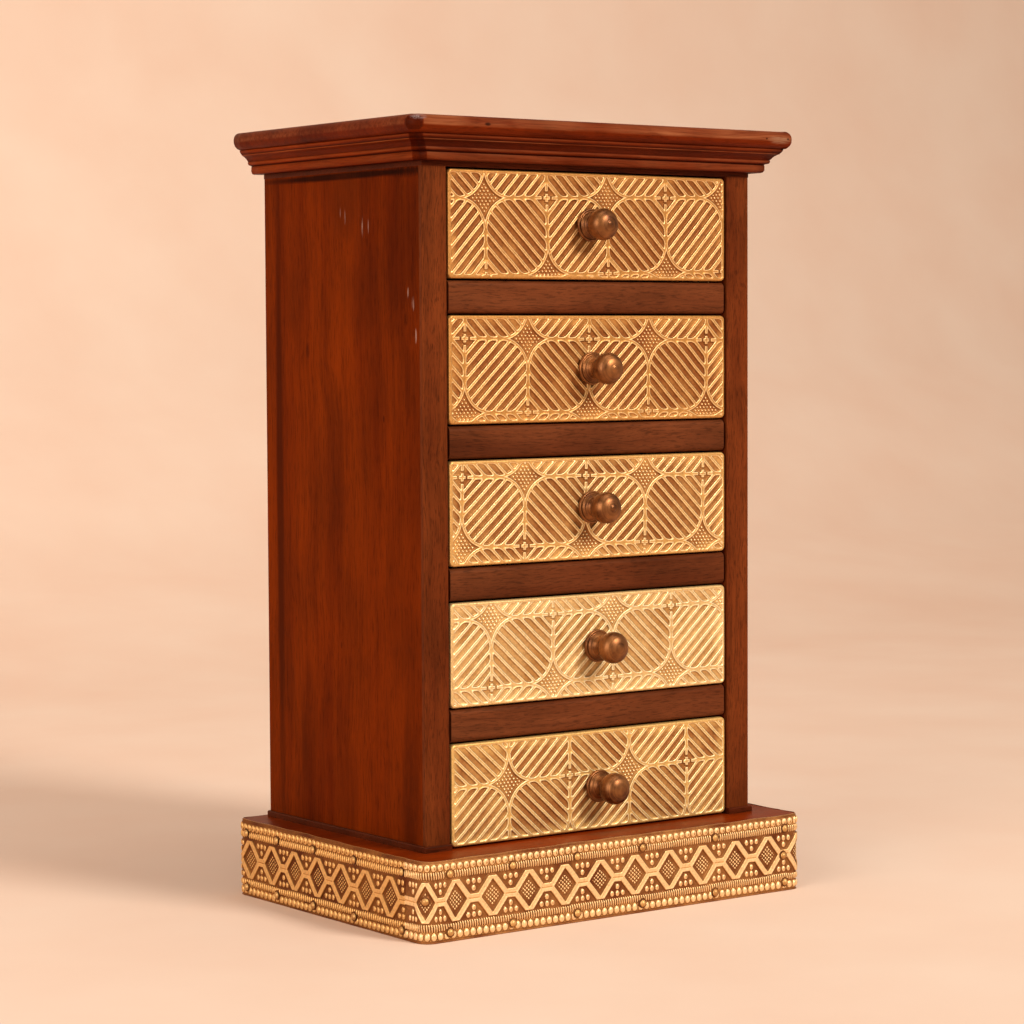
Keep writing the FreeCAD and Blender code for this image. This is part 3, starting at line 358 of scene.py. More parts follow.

# %% [markdown]
# The embossed brass is one finish for every height of the sheet. Each vertex carries two numbers. The
# first, inside, says how far in millimetres it lies within a hollow of the ornament: the sheet is mid gold
# along the middle of a rib, bright with a painted highlight on the rib's two crests, dark with painted shade
# at the foot of the wall and brown on the hollow's floor. The second, firm, says how hard the sheet was
# pressed there: where the ornament fades near the sheet's edges, and in slow clouds, the floors stay golden.

# %% Brass materials
def make_brass(name, hollow, rib, crest_highlight, cloud=0.9):
    """Embossed brass, from the colours of the hollows' floors, of the ribs and of the painted highlight on their
    crests. cloud says how unevenly it was pressed."""
    material, tree, shader, place = new_material(name)
    inside = add(tree, "ShaderNodeAttribute", attribute_name="inside").outputs["Fac"]
    firm = add(tree, "ShaderNodeAttribute", attribute_name="firm").outputs["Fac"]
    level = remap(tree, inside, 0.0, 1.0, start=-1.2, end=1.2)
    # shade is painted shade at the foot of each wall; the crest colour is a painted highlight on the lips
    shade = tuple(channel * 0.40 for channel in hollow)
    soft = tuple(0.30 * a + 0.70 * b for a, b in zip(hollow, rib))
    pressed_colour = ramp(tree, level, [(0.23, rib), (0.33, crest_highlight), (0.40, crest_highlight), (0.46, rib), (0.54, shade),
                                        (0.66, hollow)])
    faint_colour = ramp(tree, level, [(0.25, rib), (0.34, crest_highlight), (0.39, crest_highlight), (0.45, rib), (0.54, soft),
                                      (0.66, rib)])
    drift = reckon(tree, "MULTIPLY_ADD", noise(tree, place, 62.0, 4.0, 0.6), 2 * cloud, -cloud)
    strength = reckon(tree, "ADD", firm, drift, clamp=True)
    colour = blend(tree, "MIX", strength, faint_colour, pressed_colour)
    grains = noise(tree, place, 750.0, 2.0)
    specks = ramp(tree, grains, [(0.34, grey(0.80)), (0.52, grey(1.0))])
    join(tree, blend(tree, "MULTIPLY", 1.0, colour, specks), shader.inputs["Base Color"])
    join(tree, remap(tree, level, 0.36, 0.58), shader.inputs["Roughness"])
    set_values(shader, Metallic=0.55, Specular_IOR_Level=0.2)
    add_bump(tree, shader, grains, 0.35, 0.0003)
    return material


face_brass = {
    1: make_brass("face_brass_1", (0.26, 0.078, 0.015), (0.55, 0.242, 0.060), (0.90, 0.560, 0.250)),
    2: make_brass("face_brass_2", (0.265, 0.077, 0.015), (0.57, 0.255, 0.064), (0.90, 0.580, 0.260)),
    3: make_brass("face_brass_3", (0.31, 0.105, 0.024), (0.69, 0.360, 0.108), (0.97, 0.700, 0.360)),
    4: make_brass("face_brass_4", (0.47, 0.215, 0.058), (0.80, 0.500, 0.200), (0.96, 0.780, 0.470)),
    5: make_brass("face_brass_5", (0.37, 0.135, 0.033), (0.76, 0.440, 0.138), (0.98, 0.760, 0.420)),
}
band_brass = make_brass("band_brass", (0.165, 0.040, 0.008), (0.66, 0.300, 0.085), (0.97, 0.630, 0.300), cloud=0.4)
# a darker copy of the band's brass: painted shade for the plinth's sides
shaded_side_brass = make_brass("shaded_side_brass", (0.125, 0.026, 0.004), (0.50, 0.200, 0.042), (0.80, 0.440, 0.150), cloud=0.4)
print("brasses:", len(face_brass) + 2)

# %% [markdown]
# The pins, the turned knobs and their screws are plain metals, so their colour varies softly: the knobs
# are antique bronze with fine rings left by the lathe, which run round each knob along its length.

# %% Turned metals
def make_turned(name, dark, light, roughness, ring_scale, metallic):
    """Turned metal with lathe rings along Y and soft clouds of tarnish."""
    material, tree, shader, place = new_material(name)
    rings = add(tree, "ShaderNodeMapping", Scale=(6.0, ring_scale, 6.0))
    join(tree, place, rings.inputs["Vector"])
    lathe = noise(tree, rings.outputs[0], 1.0, 4.0)
    clouds = noise(tree, place, 160.0, 4.0)
    mixed = reckon(tree, "MULTIPLY_ADD", lathe, 0.55, clouds)
    join(tree, ramp(tree, mixed, [(0.55, dark), (1.0, light)]), shader.inputs["Base Color"])
    join(tree, remap(tree, clouds, roughness - 0.08, roughness + 0.12), shader.inputs["Roughness"])
    set_values(shader, Metallic=metallic)
    add_bump(tree, shader, lathe, 0.25, 0.0002)
    return material


knob_bronze = make_turned("knob_bronze", (0.066, 0.015, 0.002), (0.330, 0.120, 0.032), 0.36, 2600.0, 0.75)
pin_brass = make_turned("pin_brass", (0.46, 0.21, 0.06), (0.74, 0.43, 0.15), 0.46, 300.0, 0.7)
screw_steel = make_turned("screw_steel", (0.34, 0.34, 0.35), (0.62, 0.62, 0.64), 0.35, 300.0, 1.0)

# %% [markdown]
# The boards whose solids are already right keep them and only take a finish. A node's object has one
# material slot, so giving it a finish is one line per node.

# %% Finish the plain boards
def finish_node(name, material):
    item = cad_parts[name]
    item.data.materials.clear()
    item.data.materials.append(material)


BOARD_FINISHES = {
    panel_wood: ["side_panel_left", "side_panel_right", "back_panel"],
    stile_wood: ["stiles", "plinth_back"],
    rail_wood: [f"rail_{n}" for n in DRAWERS[:-1]],
    shaded_shoe_wood: ["carcass_cap", "carcass_floor"],
    ledge_wood: ["plinth_top"],
    pine_across: ["plinth_front", "plinth_ends"] + [f"dust_board_{n}" for n in DRAWERS[:-1]]
    + [f"drawer_{n}_{part}" for n in DRAWERS for part in ("front", "back", "base")],
    pine_back: [f"drawer_{n}_sides" for n in DRAWERS],
    pin_brass: ["band_pins"],
    screw_steel: [f"drawer_{n}_knob_screw" for n in DRAWERS],
}
for material, names in BOARD_FINISHES.items():
    for name in names:
        finish_node(name, material)
print("finished", sum(len(names) for names in BOARD_FINISHES.values()), "solids")

# %% [markdown]
# The embossed sheets start as fine flat grids. Numbers for a whole grid at once are quickest with numpy
# arrays, so the ornament is a set of small functions on arrays. Each says how far a point lies inside a
# hollow, in millimetres, and one function turns that distance into a pressed height: a faint groove along
# the middle of a rib, a raised lip on each side of it, and a short wall down into the hollow.

# %% Helpers for pressed relief
def smooth_step(low, high, x):
    t = np.clip((x - low) / (high - low), 0.0, 1.0)
    return t * t * (3 - 2 * t)


def pressed(inside, depth=0.75, lip=0.13):
    """Height of sheet pressed down where the distance inside is above zero."""
    floor = -depth * smooth_step(-0.20, 0.34, inside)
    groove = 0.12 * smooth_step(-0.50, -0.95, inside)
    return floor - groove + lip * np.exp(-(((inside + 0.36) / 0.24) ** 2))


def unevenness(x, z, seed):
    """Slow waves between -1 and 1, as in sheet that was beaten by hand."""
    waves = np.sin(x / 7.3 + seed) * np.sin(z / 5.9 + 2.1 * seed) + np.sin(x / 3.7 - z / 4.9 + 1.7 * seed)
    return (waves + np.sin(x / 19.0 + z / 13.0 + 0.6 * seed)) / 3


def beads(x, z, half_wide, half_tall):
    """Round-topped beads of height 1, where x and z are measured from the middle of the nearest bead."""
    return np.sqrt(np.clip(1 - (x / half_wide) ** 2 - (z / half_tall) ** 2, 0.0, 1.0))

# %% [markdown]
# The ornament of the drawer faces is a traditional lattice. Stars and crosses take turns on a square grid
# and straight ribs join them. Each square between four of them is filled with slots that run from star to
# star. The star is the space left between four arcs and holds rows of beads, and the cross stands in a
# diamond.

# %% Lattice of stars and crosses
ARC_CENTRE, ARC_RADIUS, BAND_HALF = 15.0, 14.8, 0.88
SLOT_PITCH, SLOT_HALF = 4.35, 1.32
RIB_HALF, DIAMOND = 1.05, 5.3


def star_lattice(x, z, pitch_x, pitch_z):
    """How far inside a hollow each point lies, and the height of its beads, from the middle of a star."""
    column, row = np.floor(x / pitch_x), np.floor(z / pitch_z)
    u, v = x - column * pitch_x, z - row * pitch_z
    u = np.where((column + row) % 2 == 0, u, pitch_x - u)
    # stars now lie at (0, 0) and (pitch_x, pitch_z) of every square, crosses at its other two corners
    across = (u * pitch_z - v * pitch_x) / math.hypot(pitch_x, pitch_z)
    slot = SLOT_HALF - np.abs(across - SLOT_PITCH * np.round(across / SLOT_PITCH))
    ribs = np.minimum(np.minimum(u, pitch_x - u), np.minimum(v, pitch_z - v)) - RIB_HALF
    # the ends of the slots are rounded where two of the limits meet
    inside = np.where((slot < 0.9) & (ribs < 0.9), 0.9 - np.hypot(0.9 - slot, 0.9 - ribs), np.minimum(slot, ribs))
    star = np.full_like(x, -9.0)
    dots = np.zeros_like(x)
    for a, b in ((u, v), (pitch_x - u, pitch_z - v)):
        reach = np.hypot(a - ARC_CENTRE, b - ARC_CENTRE)
        near = (a < ARC_CENTRE) & (b < ARC_CENTRE)
        inside = np.where(near, np.minimum(inside, ARC_RADIUS - BAND_HALF - reach), inside)
        star = np.where(near, np.maximum(star, reach - ARC_RADIUS - BAND_HALF), star)
        line = np.round(b / 1.55)
        dot_x = a - 2.2 * (np.round(a / 2.2 - 0.5 * (line % 2)) + 0.5 * (line % 2))
        dots = np.where(near, np.maximum(dots, beads(dot_x, b - 1.55 * line, 0.62, 0.60)), dots)
    cross = np.full_like(x, -9.0)
    for a, b in ((pitch_x - u, v), (u, pitch_z - v)):
        slope = (a + b) / math.sqrt(2)
        inside = np.minimum(inside, slope - DIAMOND - 0.9)
        arms = np.minimum(a, b) - 0.85
        gap = np.minimum(0.5 - np.abs(np.maximum(a, b) - 2.5), 1.4 - np.minimum(a, b))
        cross = np.maximum(cross, np.minimum(DIAMOND - 0.7 - slope, np.maximum(arms, gap)))
    return np.maximum(np.maximum(inside, star), cross), dots * smooth_step(0.4, 0.9, star)

# %% [markdown]
# A drawer's face is a grid of the face's outline with its corners pushed in to a round. The edge of the
# sheet folds back over the wooden front, so the outermost points curve away and the rim is extruded
# backwards. The ornament was struck before the sheet was folded on, and towards the fold it fades unevenly
# until only thin lines are left of it.

# %% Make an embossed drawer face
def grid_mesh(wide, tall, step_x, step_z):
    """A flat grid in the XZ plane, facing -Y, centred on the origin, in millimetres."""
    shape = bmesh.new()
    bmesh.ops.create_grid(shape, x_segments=round(wide / step_x), y_segments=round(tall / step_z), size=0.5)
    bmesh.ops.scale(shape, vec=(wide, tall, 1.0), verts=shape.verts)
    bmesh.ops.rotate(shape, matrix=Matrix.Rotation(math.radians(90), 3, "X"), verts=shape.verts)
    return shape


def new_points(grown):
    """The vertices among what an extrusion made."""
    return [item for item in grown["geom"] if isinstance(item, bmesh.types.BMVert)]


def open_edges(shape):
    return [edge for edge in shape.edges if edge.is_boundary]


def mesh_from(shape, name, scale=MM):
    """Makes a mesh in metres from a shape drawn in millimetres."""
    bmesh.ops.scale(shape, vec=(scale, scale, scale), verts=shape.verts)
    mesh = bpy.data.meshes.new(name)
    shape.to_mesh(mesh)
    shape.free()
    return mesh


def read_points(mesh):
    points = np.empty(len(mesh.vertices) * 3)
    mesh.vertices.foreach_get("co", points)
    return points.reshape(-1, 3)


def write_points(mesh, points, inside, firm):
    """Moves the vertices and keeps the two numbers of the ornament with each of them."""
    mesh.vertices.foreach_set("co", points.ravel())
    for name, numbers in (("inside", np.clip(inside, -1.5, 1.5)), ("firm", np.clip(firm, 0.0, 1.0))):
        mesh.attributes.new(name, "FLOAT", "POINT").data.foreach_set("value", numbers)


def rounded_corner(x, z, half_x, half_z, radius):
    """Pushes the square corners of a grid in to quarter circles."""
    corner_x, corner_z = np.abs(x) - (half_x - radius), np.abs(z) - (half_z - radius)
    inside = (corner_x > 0) & (corner_z > 0)
    far = np.hypot(corner_x, corner_z)
    pull = np.where(inside & (far > 1e-9), np.maximum(corner_x, corner_z) / np.where(far > 1e-9, far, 1), 1.0)
    new_x = np.where(inside, half_x - radius + corner_x * pull, np.abs(x))
    new_z = np.where(inside, half_z - radius + corner_z * pull, np.abs(z))
    return np.sign(x) * new_x, np.sign(z) * new_z


def extrude_rim(shape, steps):
    """Carries the open edge along: each step is a move in Y and a scale about the middle."""
    for push, shrink_x, shrink_z in steps:
        verts = new_points(bmesh.ops.extrude_edge_only(shape, edges=open_edges(shape)))
        bmesh.ops.translate(shape, vec=(0.0, push, 0.0), verts=verts)
        bmesh.ops.scale(shape, vec=(shrink_x, 1.0, shrink_z), verts=verts)


def dress(mesh, material):
    mesh.materials.append(material)
    for polygon in mesh.polygons:
        polygon.use_smooth = True


def add_piece(name, mesh, body, material, replaced):
    """Adds a mesh to the scene, with its finish, its body and the solid that it stands for."""
    dress(mesh, material)
    piece = add_object(name, mesh)
    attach(piece, body)
    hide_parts(replaced)
    return piece


# radii of the sheet's fold and corners, spacing of the grid, and how far behind the solid's front its zero lies
FOLD, FACE_CORNER, FACE_STEP, ZERO_DEPTH = 1.0, 2.3, 0.305, 0.27
# middle of a star from the face's middle, the two pitches and the sheet's tilt in degrees
LATTICES = {
    1: (9.6, 14.0, 36.5, 36.4, 1.4),
    2: (35.4, 13.7, 36.9, 34.9, -0.5),
    3: (-4.2, -17.3, 36.8, 33.0, -1.0),
    4: (12.6, 16.4, 36.7, 32.8, 0.0),
    5: (22.4, 3.9, 36.7, 33.4, 0.3),
}
# how firmly each sheet was pressed, and how far in from its edge the ornament fades
FADES = {1: (1.0, 5.0), 2: (1.0, 8.0), 3: (1.0, 8.0), 4: (0.80, 10.0), 5: (0.95, 7.0)}


def make_face(number):
    low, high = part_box(f"drawer_{number}_brass_face")
    wide, tall = (high.x - low.x) / MM, (high.z - low.z) / MM
    half_x, half_z = wide / 2, tall / 2
    centre = np.array([(low.x + high.x) / 2, low.y, (low.z + high.z) / 2])
    shape = grid_mesh(wide, tall, FACE_STEP, FACE_STEP)
    mesh = bpy.data.meshes.new(f"embossed_face_{number}")
    shape.to_mesh(mesh)
    points = read_points(mesh)
    x, z = points[:, 0].copy(), points[:, 2].copy()
    edge = np.minimum(half_x - np.abs(x), half_z - np.abs(z))
    star_x, star_z, pitch_x, pitch_z, tilt = LATTICES[number]
    wobble = unevenness(x, z, number)
    turn = math.radians(tilt)
    along = (x - star_x) * math.cos(turn) + (z - star_z) * math.sin(turn) + 0.14 * wobble
    above = (z - star_z) * math.cos(turn) - (x - star_x) * math.sin(turn) + 0.14 * unevenness(z, x, number + 3)
    inside, dots = star_lattice(along, above, pitch_x, pitch_z)
    strength, fade = FADES[number]
    ragged = edge + 2.4 * unevenness(x * 0.9, z * 0.9, number + 5)
    firm = strength * (0.16 + 0.84 * smooth_step(0.0, fade, ragged)) * (0.90 + 0.10 * wobble)
    kept = smooth_step(1.0, 2.2, edge)
    height = (pressed(inside) * (0.60 + 0.40 * firm) + 0.50 * dots) * kept
    height += 0.10 * unevenness(x * 1.7, z * 1.7, number + 9)
    fold = FOLD - np.sqrt(np.clip(FOLD ** 2 - np.clip(FOLD - edge, 0.0, FOLD) ** 2, 0.0, None))
    x, z = rounded_corner(x, z, half_x, half_z, FACE_CORNER)
    points = np.stack([x, fold + ZERO_DEPTH - height, z], axis=1)
    # the star's beads get the crests' painted highlight
    tone = np.minimum(inside, 0.6 - 1.1 * dots) * kept - 0.9 * (1 - kept)
    write_points(mesh, points * MM + centre, tone, firm * kept)
    shape.clear()
    shape.from_mesh(mesh)
    bmesh.ops.translate(shape, vec=-Vector(centre), verts=shape.verts)
    # the rim runs back along the board's edge, turns in by its own thickness and comes forward again
    shrink_x, shrink_z = 1 - 0.7 / half_x, 1 - 0.7 / half_z
    extrude_rim(shape, [(4.1 * MM, 1, 1), (0.1 * MM, shrink_x, shrink_z), (-4.2 * MM, 1, 1)])
    bmesh.ops.holes_fill(shape, edges=open_edges(shape), sides=0)
    bmesh.ops.translate(shape, vec=Vector(centre), verts=shape.verts)
    bmesh.ops.recalc_face_normals(shape, faces=shape.faces)
    shape.to_mesh(mesh)
    shape.free()
    return add_piece(f"embossed_face_{number}", mesh, f"drawer_{number}", face_brass[number],
                     f"drawer_{number}_brass_face")


faces = [make_face(number) for number in DRAWERS]
print("each face has about", len(faces[0].data.polygons), "quads")

# %% [markdown]
# The band round the plinth is drawn on flat sheet and then bent. Its rows, from the ledge down, are large
# beads, a rope, a chain of diamonds in a flat ribbon, another rope and another row of beads. Only the
# bending knows about the plinth's corners: it takes a distance along the sheet and gives the place and
# outward direction there.

# %% Ornament of the band
# half width and half height of a diamond, width of the flat ribbon round it, and pitch of the large beads
HALF_WIDE, HALF_TALL, RIBBON, BEAD_PITCH = 6.6, 8.0, 2.8, 3.7


def band_height(along, rows_along, z, pitch, middle, rope_pitch):
    """Height of the band's ornament and how far inside a hollow it lies. The chain of diamonds and the rows
    of rope and beads have each their own distance along the sheet."""
    # beyond the link that leads round the left corner the ribbon runs straight on to the seam
    chain = np.maximum(along, -6.5 * pitch)
    offset = chain - pitch * np.round(chain / pitch)
    du, dz = np.abs(offset), np.abs(z - middle)
    slope = (du * HALF_TALL + dz * HALF_WIDE) / math.hypot(HALF_TALL, HALF_WIDE)
    reach = HALF_TALL * HALF_WIDE / math.hypot(HALF_TALL, HALF_WIDE)
    diamond = reach - slope
    ground = np.maximum(np.minimum(slope - reach - RIBBON, dz - 2.1), dz - 9.6)
    inside = np.maximum(diamond, ground)
    # a thin line parts the two ribbons where the links meet
    parting = 0.04 - 0.80 * dz - 3.0 * smooth_step(7.6, 6.8, du)
    height = pressed(inside, 0.85, 0.10) - 0.25 * smooth_step(-0.35, 0.05, parting)
    inside = np.maximum(np.maximum(inside, -0.42), parting)
    # a small grid of dots in each diamond
    rows, columns = offset / 2.2 + (z - middle) / 2.0, offset / 2.2 - (z - middle) / 2.0
    dots = beads(rows - np.round(rows), columns - np.round(columns), 0.36, 0.36) * smooth_step(1.4, 2.0, diamond)
    inside = np.where(diamond > 1.7, 0.30, inside)
    height += 0.45 * dots
    # four beads in each triangle: three in a row against the rope and one towards the link
    between = along - pitch * (np.floor(along / pitch) + 0.5)
    for side in (1, -1):
        for shift, rise in ((-3.2, 7.8), (0.0, 7.9), (3.2, 7.8), (0.0, 4.6)):
            bead = beads(between - shift, z - middle - side * rise, 1.25, 1.55)
            height += 0.85 * bead
            dots = np.maximum(dots, bead)
    # the beads and dots get a painted highlight on their tops and painted shade at their feet
    inside = np.minimum(inside, np.where(dots > 0.05, 0.18 - 0.75 * dots, 9.0))
    # the ropes are rows of upright turns with deep gaps between them, and the gaps take painted shade
    rope = (rows_along + 0.12 * (z - middle)) / rope_pitch
    for centre in (middle - 11.9, middle + 12.3):
        cord = np.sqrt(np.clip(1 - ((z - centre) / 1.75) ** 2, 0.0, 1.0))
        twist = np.clip(0.3 + 0.85 * np.cos(rope * 2 * math.pi), 0.0, 1.0)
        here = cord > 0
        height = np.where(here, -0.90 + cord * (0.15 + 0.85 * twist), height)
        inside = np.where(here, 0.16 - 0.56 * twist * cord ** 0.3, inside)
    # outside them a row of large beads on brownish ground, the upper ones open to a small hollow; each bead has a
    # painted highlight on its top and a ring of painted shade round its foot
    large = rows_along - BEAD_PITCH * np.round(rows_along / BEAD_PITCH)
    for centre, base, hollow in ((middle - 15.9, -0.75, 0.0), (middle + 16.1, -0.62, 1.0)):
        row = np.abs(z - centre) < 2.15
        bead = beads(large, z - centre, 1.6, 1.9)
        ring = np.exp(-(((np.hypot(large / 1.6, (z - centre) / 1.9) - 1.0) / 0.16) ** 2))
        dimple = hollow * beads(large - 0.2, z - centre + 0.5, 0.6, 0.8)
        height = np.where(row, base + 0.88 * bead - 0.12 * ring - 0.30 * dimple, height)
        inside = np.where(row, -0.03 - 0.36 * smooth_step(0.0, 0.5, bead) + 0.17 * ring + 0.40 * dimple, inside)
    return height, inside

# %% [markdown]
# The path of a strip is a row of straights and quarter rounds. Its points come from two numpy arrays per
# piece of path, the place and the outward direction, and the flat grid is looked up along it. Round each
# pin the sheet is drawn down flat, and a ring of painted shade lies at the foot of its head.

# %% Bend a strip round the plinth
plinth_low, plinth_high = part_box("brass_band_left")[0] / MM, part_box("brass_band_right")[1] / MM
# radius of the plinth's corners, how far a strip runs on past them, and how much the chain was squeezed there
CORNER, SEAM_RETURN, SQUEEZE = 7.0, 9.0, 1.29
LIP_HEIGHT = plinth_high.z
BAND_STEP, THICKNESS = 0.40, 1.5


def straight(start, end, outward):
    """A function from distance to place and outward direction along a straight, and its length."""
    start, end, outward = np.array(start), np.array(end), np.array(outward)
    length = float(np.hypot(*(end - start)))

    def follow(s):
        return start + np.outer(s / length, end - start), np.tile(outward, (len(s), 1))
    return follow, length


def quarter(centre, first, last):
    """The same for a quarter circle of the plinth's corner, from one outward angle to another."""
    centre = np.array(centre)
    length = math.pi / 2 * CORNER

    def follow(s):
        angle = first + (last - first) * s / length
        outward = np.stack([np.cos(angle), np.sin(angle)], axis=1)
        return centre + CORNER * outward, outward
    return follow, length


def follow_path(path, s):
    """Places and outward directions at the distances s along a path of straights and quarters."""
    place, outward = np.zeros((len(s), 2)), np.zeros((len(s), 2))
    begun = 0.0
    for follow, length in path:
        here = (s >= begun - 1e-6) & (s <= begun + length + 1e-6)
        place[here], outward[here] = follow(s[here] - begun)
        begun += length
    return place, outward


def path_length(path):
    return sum(length for follow, length in path)


def along_of(points, path):
    """The distance along a path that lies nearest to each point."""
    samples = np.linspace(0.0, path_length(path), 4000)
    places = follow_path(path, samples)[0]
    best = [np.argmin(np.hypot(*(places - point[:2]).T)) for point in points]
    return samples[np.array(best)]


def make_band(name, node, path, step, first_diamond, pitch, middle, seed, pins,
              squeezed=0.0, rope_pitch=1.8, brass=shaded_side_brass):
    """A strip bent along its path. Its chain has its first diamond, its pitch and the height of its middle,
    and is squeezed together up to the distance squeezed."""
    length = path_length(path)
    shape = grid_mesh(length, LIP_HEIGHT, step, BAND_STEP)
    mesh = bpy.data.meshes.new(name)
    shape.to_mesh(mesh)
    points = read_points(mesh)
    along, z = points[:, 0] + length / 2, points[:, 2] + LIP_HEIGHT / 2
    wobble = unevenness(along, z, seed)
    drawn = np.where(along < squeezed, squeezed - (squeezed - along) * SQUEEZE, along)
    height, inside = band_height(drawn - first_diamond + 0.25 * wobble, along - first_diamond,
                                 z + 0.2 * unevenness(z, along, seed + 2), pitch, middle, rope_pitch)
    for pin_along, pin_z in pins:
        far = np.hypot(along - pin_along, z - pin_z)
        flat = smooth_step(2.9, 2.0, far)
        height = height * (1 - flat) - 0.30 * flat
        # painted shade in a ring round the foot of each pin's head
        inside = np.where(far < 2.5, 0.25, inside)
    kept = smooth_step(-0.1, 0.9, np.minimum(z + 0.15, LIP_HEIGHT - z))
    height = height * kept - 0.25 * (1 - kept) + 0.08 * wobble
    roll = np.clip(1.1 - (LIP_HEIGHT - z), 0.0, 1.1)
    depth = 0.22 - np.minimum(height, 0.2) + 1.1 - np.sqrt(np.clip(1.21 - roll ** 2, 0.0, None))
    place, outward = follow_path(path, along)
    placed = place - outward * np.clip(depth, 0.02, 1.45)[:, None]
    sagged = z - 0.35 * smooth_step(LIP_HEIGHT - 4, LIP_HEIGHT, z) * (1 + unevenness(along * 0.8, z, seed + 5))
    write_points(mesh, np.column_stack([placed, sagged]) * MM, inside * kept - 0.6 * (1 - kept),
                 0.80 + 0.2 * wobble)
    shape.clear()
    shape.from_mesh(mesh)
    # the open edge is carried back to the sheet's inner side
    grown = bmesh.ops.extrude_edge_only(shape, edges=open_edges(shape))
    first_new = len(shape.verts) - len(new_points(grown))
    shape.to_mesh(mesh)
    moved = read_points(mesh)
    place, outward = follow_path(path, along_of(moved[first_new:] / MM, path))
    moved[first_new:, :2] = (place - outward * THICKNESS) * MM
    mesh.vertices.foreach_set("co", moved.ravel())
    shape.free()
    mesh.update()
    return add_piece(name, mesh, "cabinet", brass, node)


left, right = plinth_low.x, plinth_high.x
front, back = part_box("brass_band_front")[0].y / MM, plinth_high.y
front_seam = front + CORNER + SEAM_RETURN
side_seam = front_seam + 0.3
back_end = right - CORNER - SEAM_RETURN
PI = math.pi
front_path = [
    straight((left, front_seam), (left, front + CORNER), (-1.0, 0.0)),
    quarter((left + CORNER, front + CORNER), PI, 1.5 * PI),
    straight((left + CORNER, front), (right - CORNER, front), (0.0, -1.0)),
    quarter((right - CORNER, front + CORNER), 1.5 * PI, 2 * PI),
    straight((right, front + CORNER), (right, front_seam), (1.0, 0.0)),
]
left_path = [
    straight((-back_end, back), (left + CORNER, back), (0.0, 1.0)),
    quarter((left + CORNER, back - CORNER), 0.5 * PI, PI),
    straight((left, back - CORNER), (left, side_seam), (-1.0, 0.0)),
]
right_path = [
    straight((right, side_seam), (right, back - CORNER), (1.0, 0.0)),
    quarter((right - CORNER, back - CORNER), 0.0, 0.5 * PI),
    straight((right - CORNER, back), (back_end, back), (0.0, 1.0)),
]
# the pins' places along each strip, at two heights, and the two that stand between the rows
PIN_HEIGHTS = (4.5, 31.6)
FRONT_PINS = (-101.6, -65.6, -27.5, 12.5, 58.4, 104.2)
SIDE_PINS = (-64.6, -24.55, 11.2, 44.25, 72.5)
front_middle = SEAM_RETURN + PI / 2 * CORNER + (right - CORNER)
left_middle = SEAM_RETURN + PI / 2 * CORNER + (back - CORNER)
front_pins = [(front_middle + x, z) for x in FRONT_PINS for z in PIN_HEIGHTS]
front_pins += [(front_middle + 103.2, 18.0), (SEAM_RETURN + PI / 4 * CORNER, 19.8)]
bands = [
    make_band("embossed_band_front", "brass_band_front", front_path, 0.265, front_middle + 8.0, 21.3, 19.0, 1,
              front_pins, front_middle - 98.5, 1.36, band_brass),
    make_band("embossed_band_left", "brass_band_left", left_path, 0.28, left_middle - 7.5, 20.7, 18.6, 4,
              [(left_middle - y, z) for y in SIDE_PINS for z in PIN_HEIGHTS]),
    make_band("embossed_band_right", "brass_band_right", right_path, 0.28, 62.0, 20.9, 18.8, 7,
              [(y - side_seam, z) for y in SIDE_PINS for z in PIN_HEIGHTS]),
]
print("bands:", [(piece.name, len(piece.data.polygons)) for piece in bands])

# %% [markdown]
# A knob is turned on a lathe, so it is a profile spun about its axis. The foot's profile starts under the
# flange and climbs its rim and rings to the waist. The ball's starts again at the waist and ends, on the
# upper knobs, in a small nipple. No two knobs sit quite alike, so each takes its place and its reach from
# its own solid. Spin makes the full turn and merges its two ends.

# %% Turn the knobs
# radius and distance out from the drawer's face, in millimetres
FOOT_PROFILE = [
    (2.3, 0.02), (7.6, 0.02), (7.95, 0.25), (8.0, 0.8), (7.95, 1.35), (7.70, 1.80), (7.15, 1.90), (6.85, 1.62),
    (6.5, 1.58), (6.25, 1.90), (6.05, 2.4), (5.6, 2.85), (5.15, 3.15), (4.9, 3.6), (4.75, 4.05), (4.3, 4.6),
]
# radius and distance out from the ball's middle
BALL_PROFILE = [
    (3.75, -6.3), (3.9, -5.75), (4.6, -5.45), (5.7, -5.25), (6.5, -4.75), (6.75, -4.2), (6.78, -3.95), (7.05, -3.7),
    (7.4, -2.9), (7.62, -1.9), (7.7, -0.9), (7.66, 0.1), (7.42, 1.2), (6.95, 2.25), (6.2, 3.2), (5.3, 3.95),
    (4.2, 4.5), (3.0, 4.85), (2.2, 4.98),
]
NIPPLE, PLAIN = [(1.75, 5.0), (1.5, 5.16), (1.2, 5.38), (0.65, 5.48), (0.0, 5.5)], [(1.2, 5.2), (0.0, 5.28)]
NIPPLED = (1, 2, 3)
# how far a nipple reaches out from the ball's middle, and how far the foot reaches out at its end
NIPPLE_REACH, FOOT_REACH = 5.5, 4.8


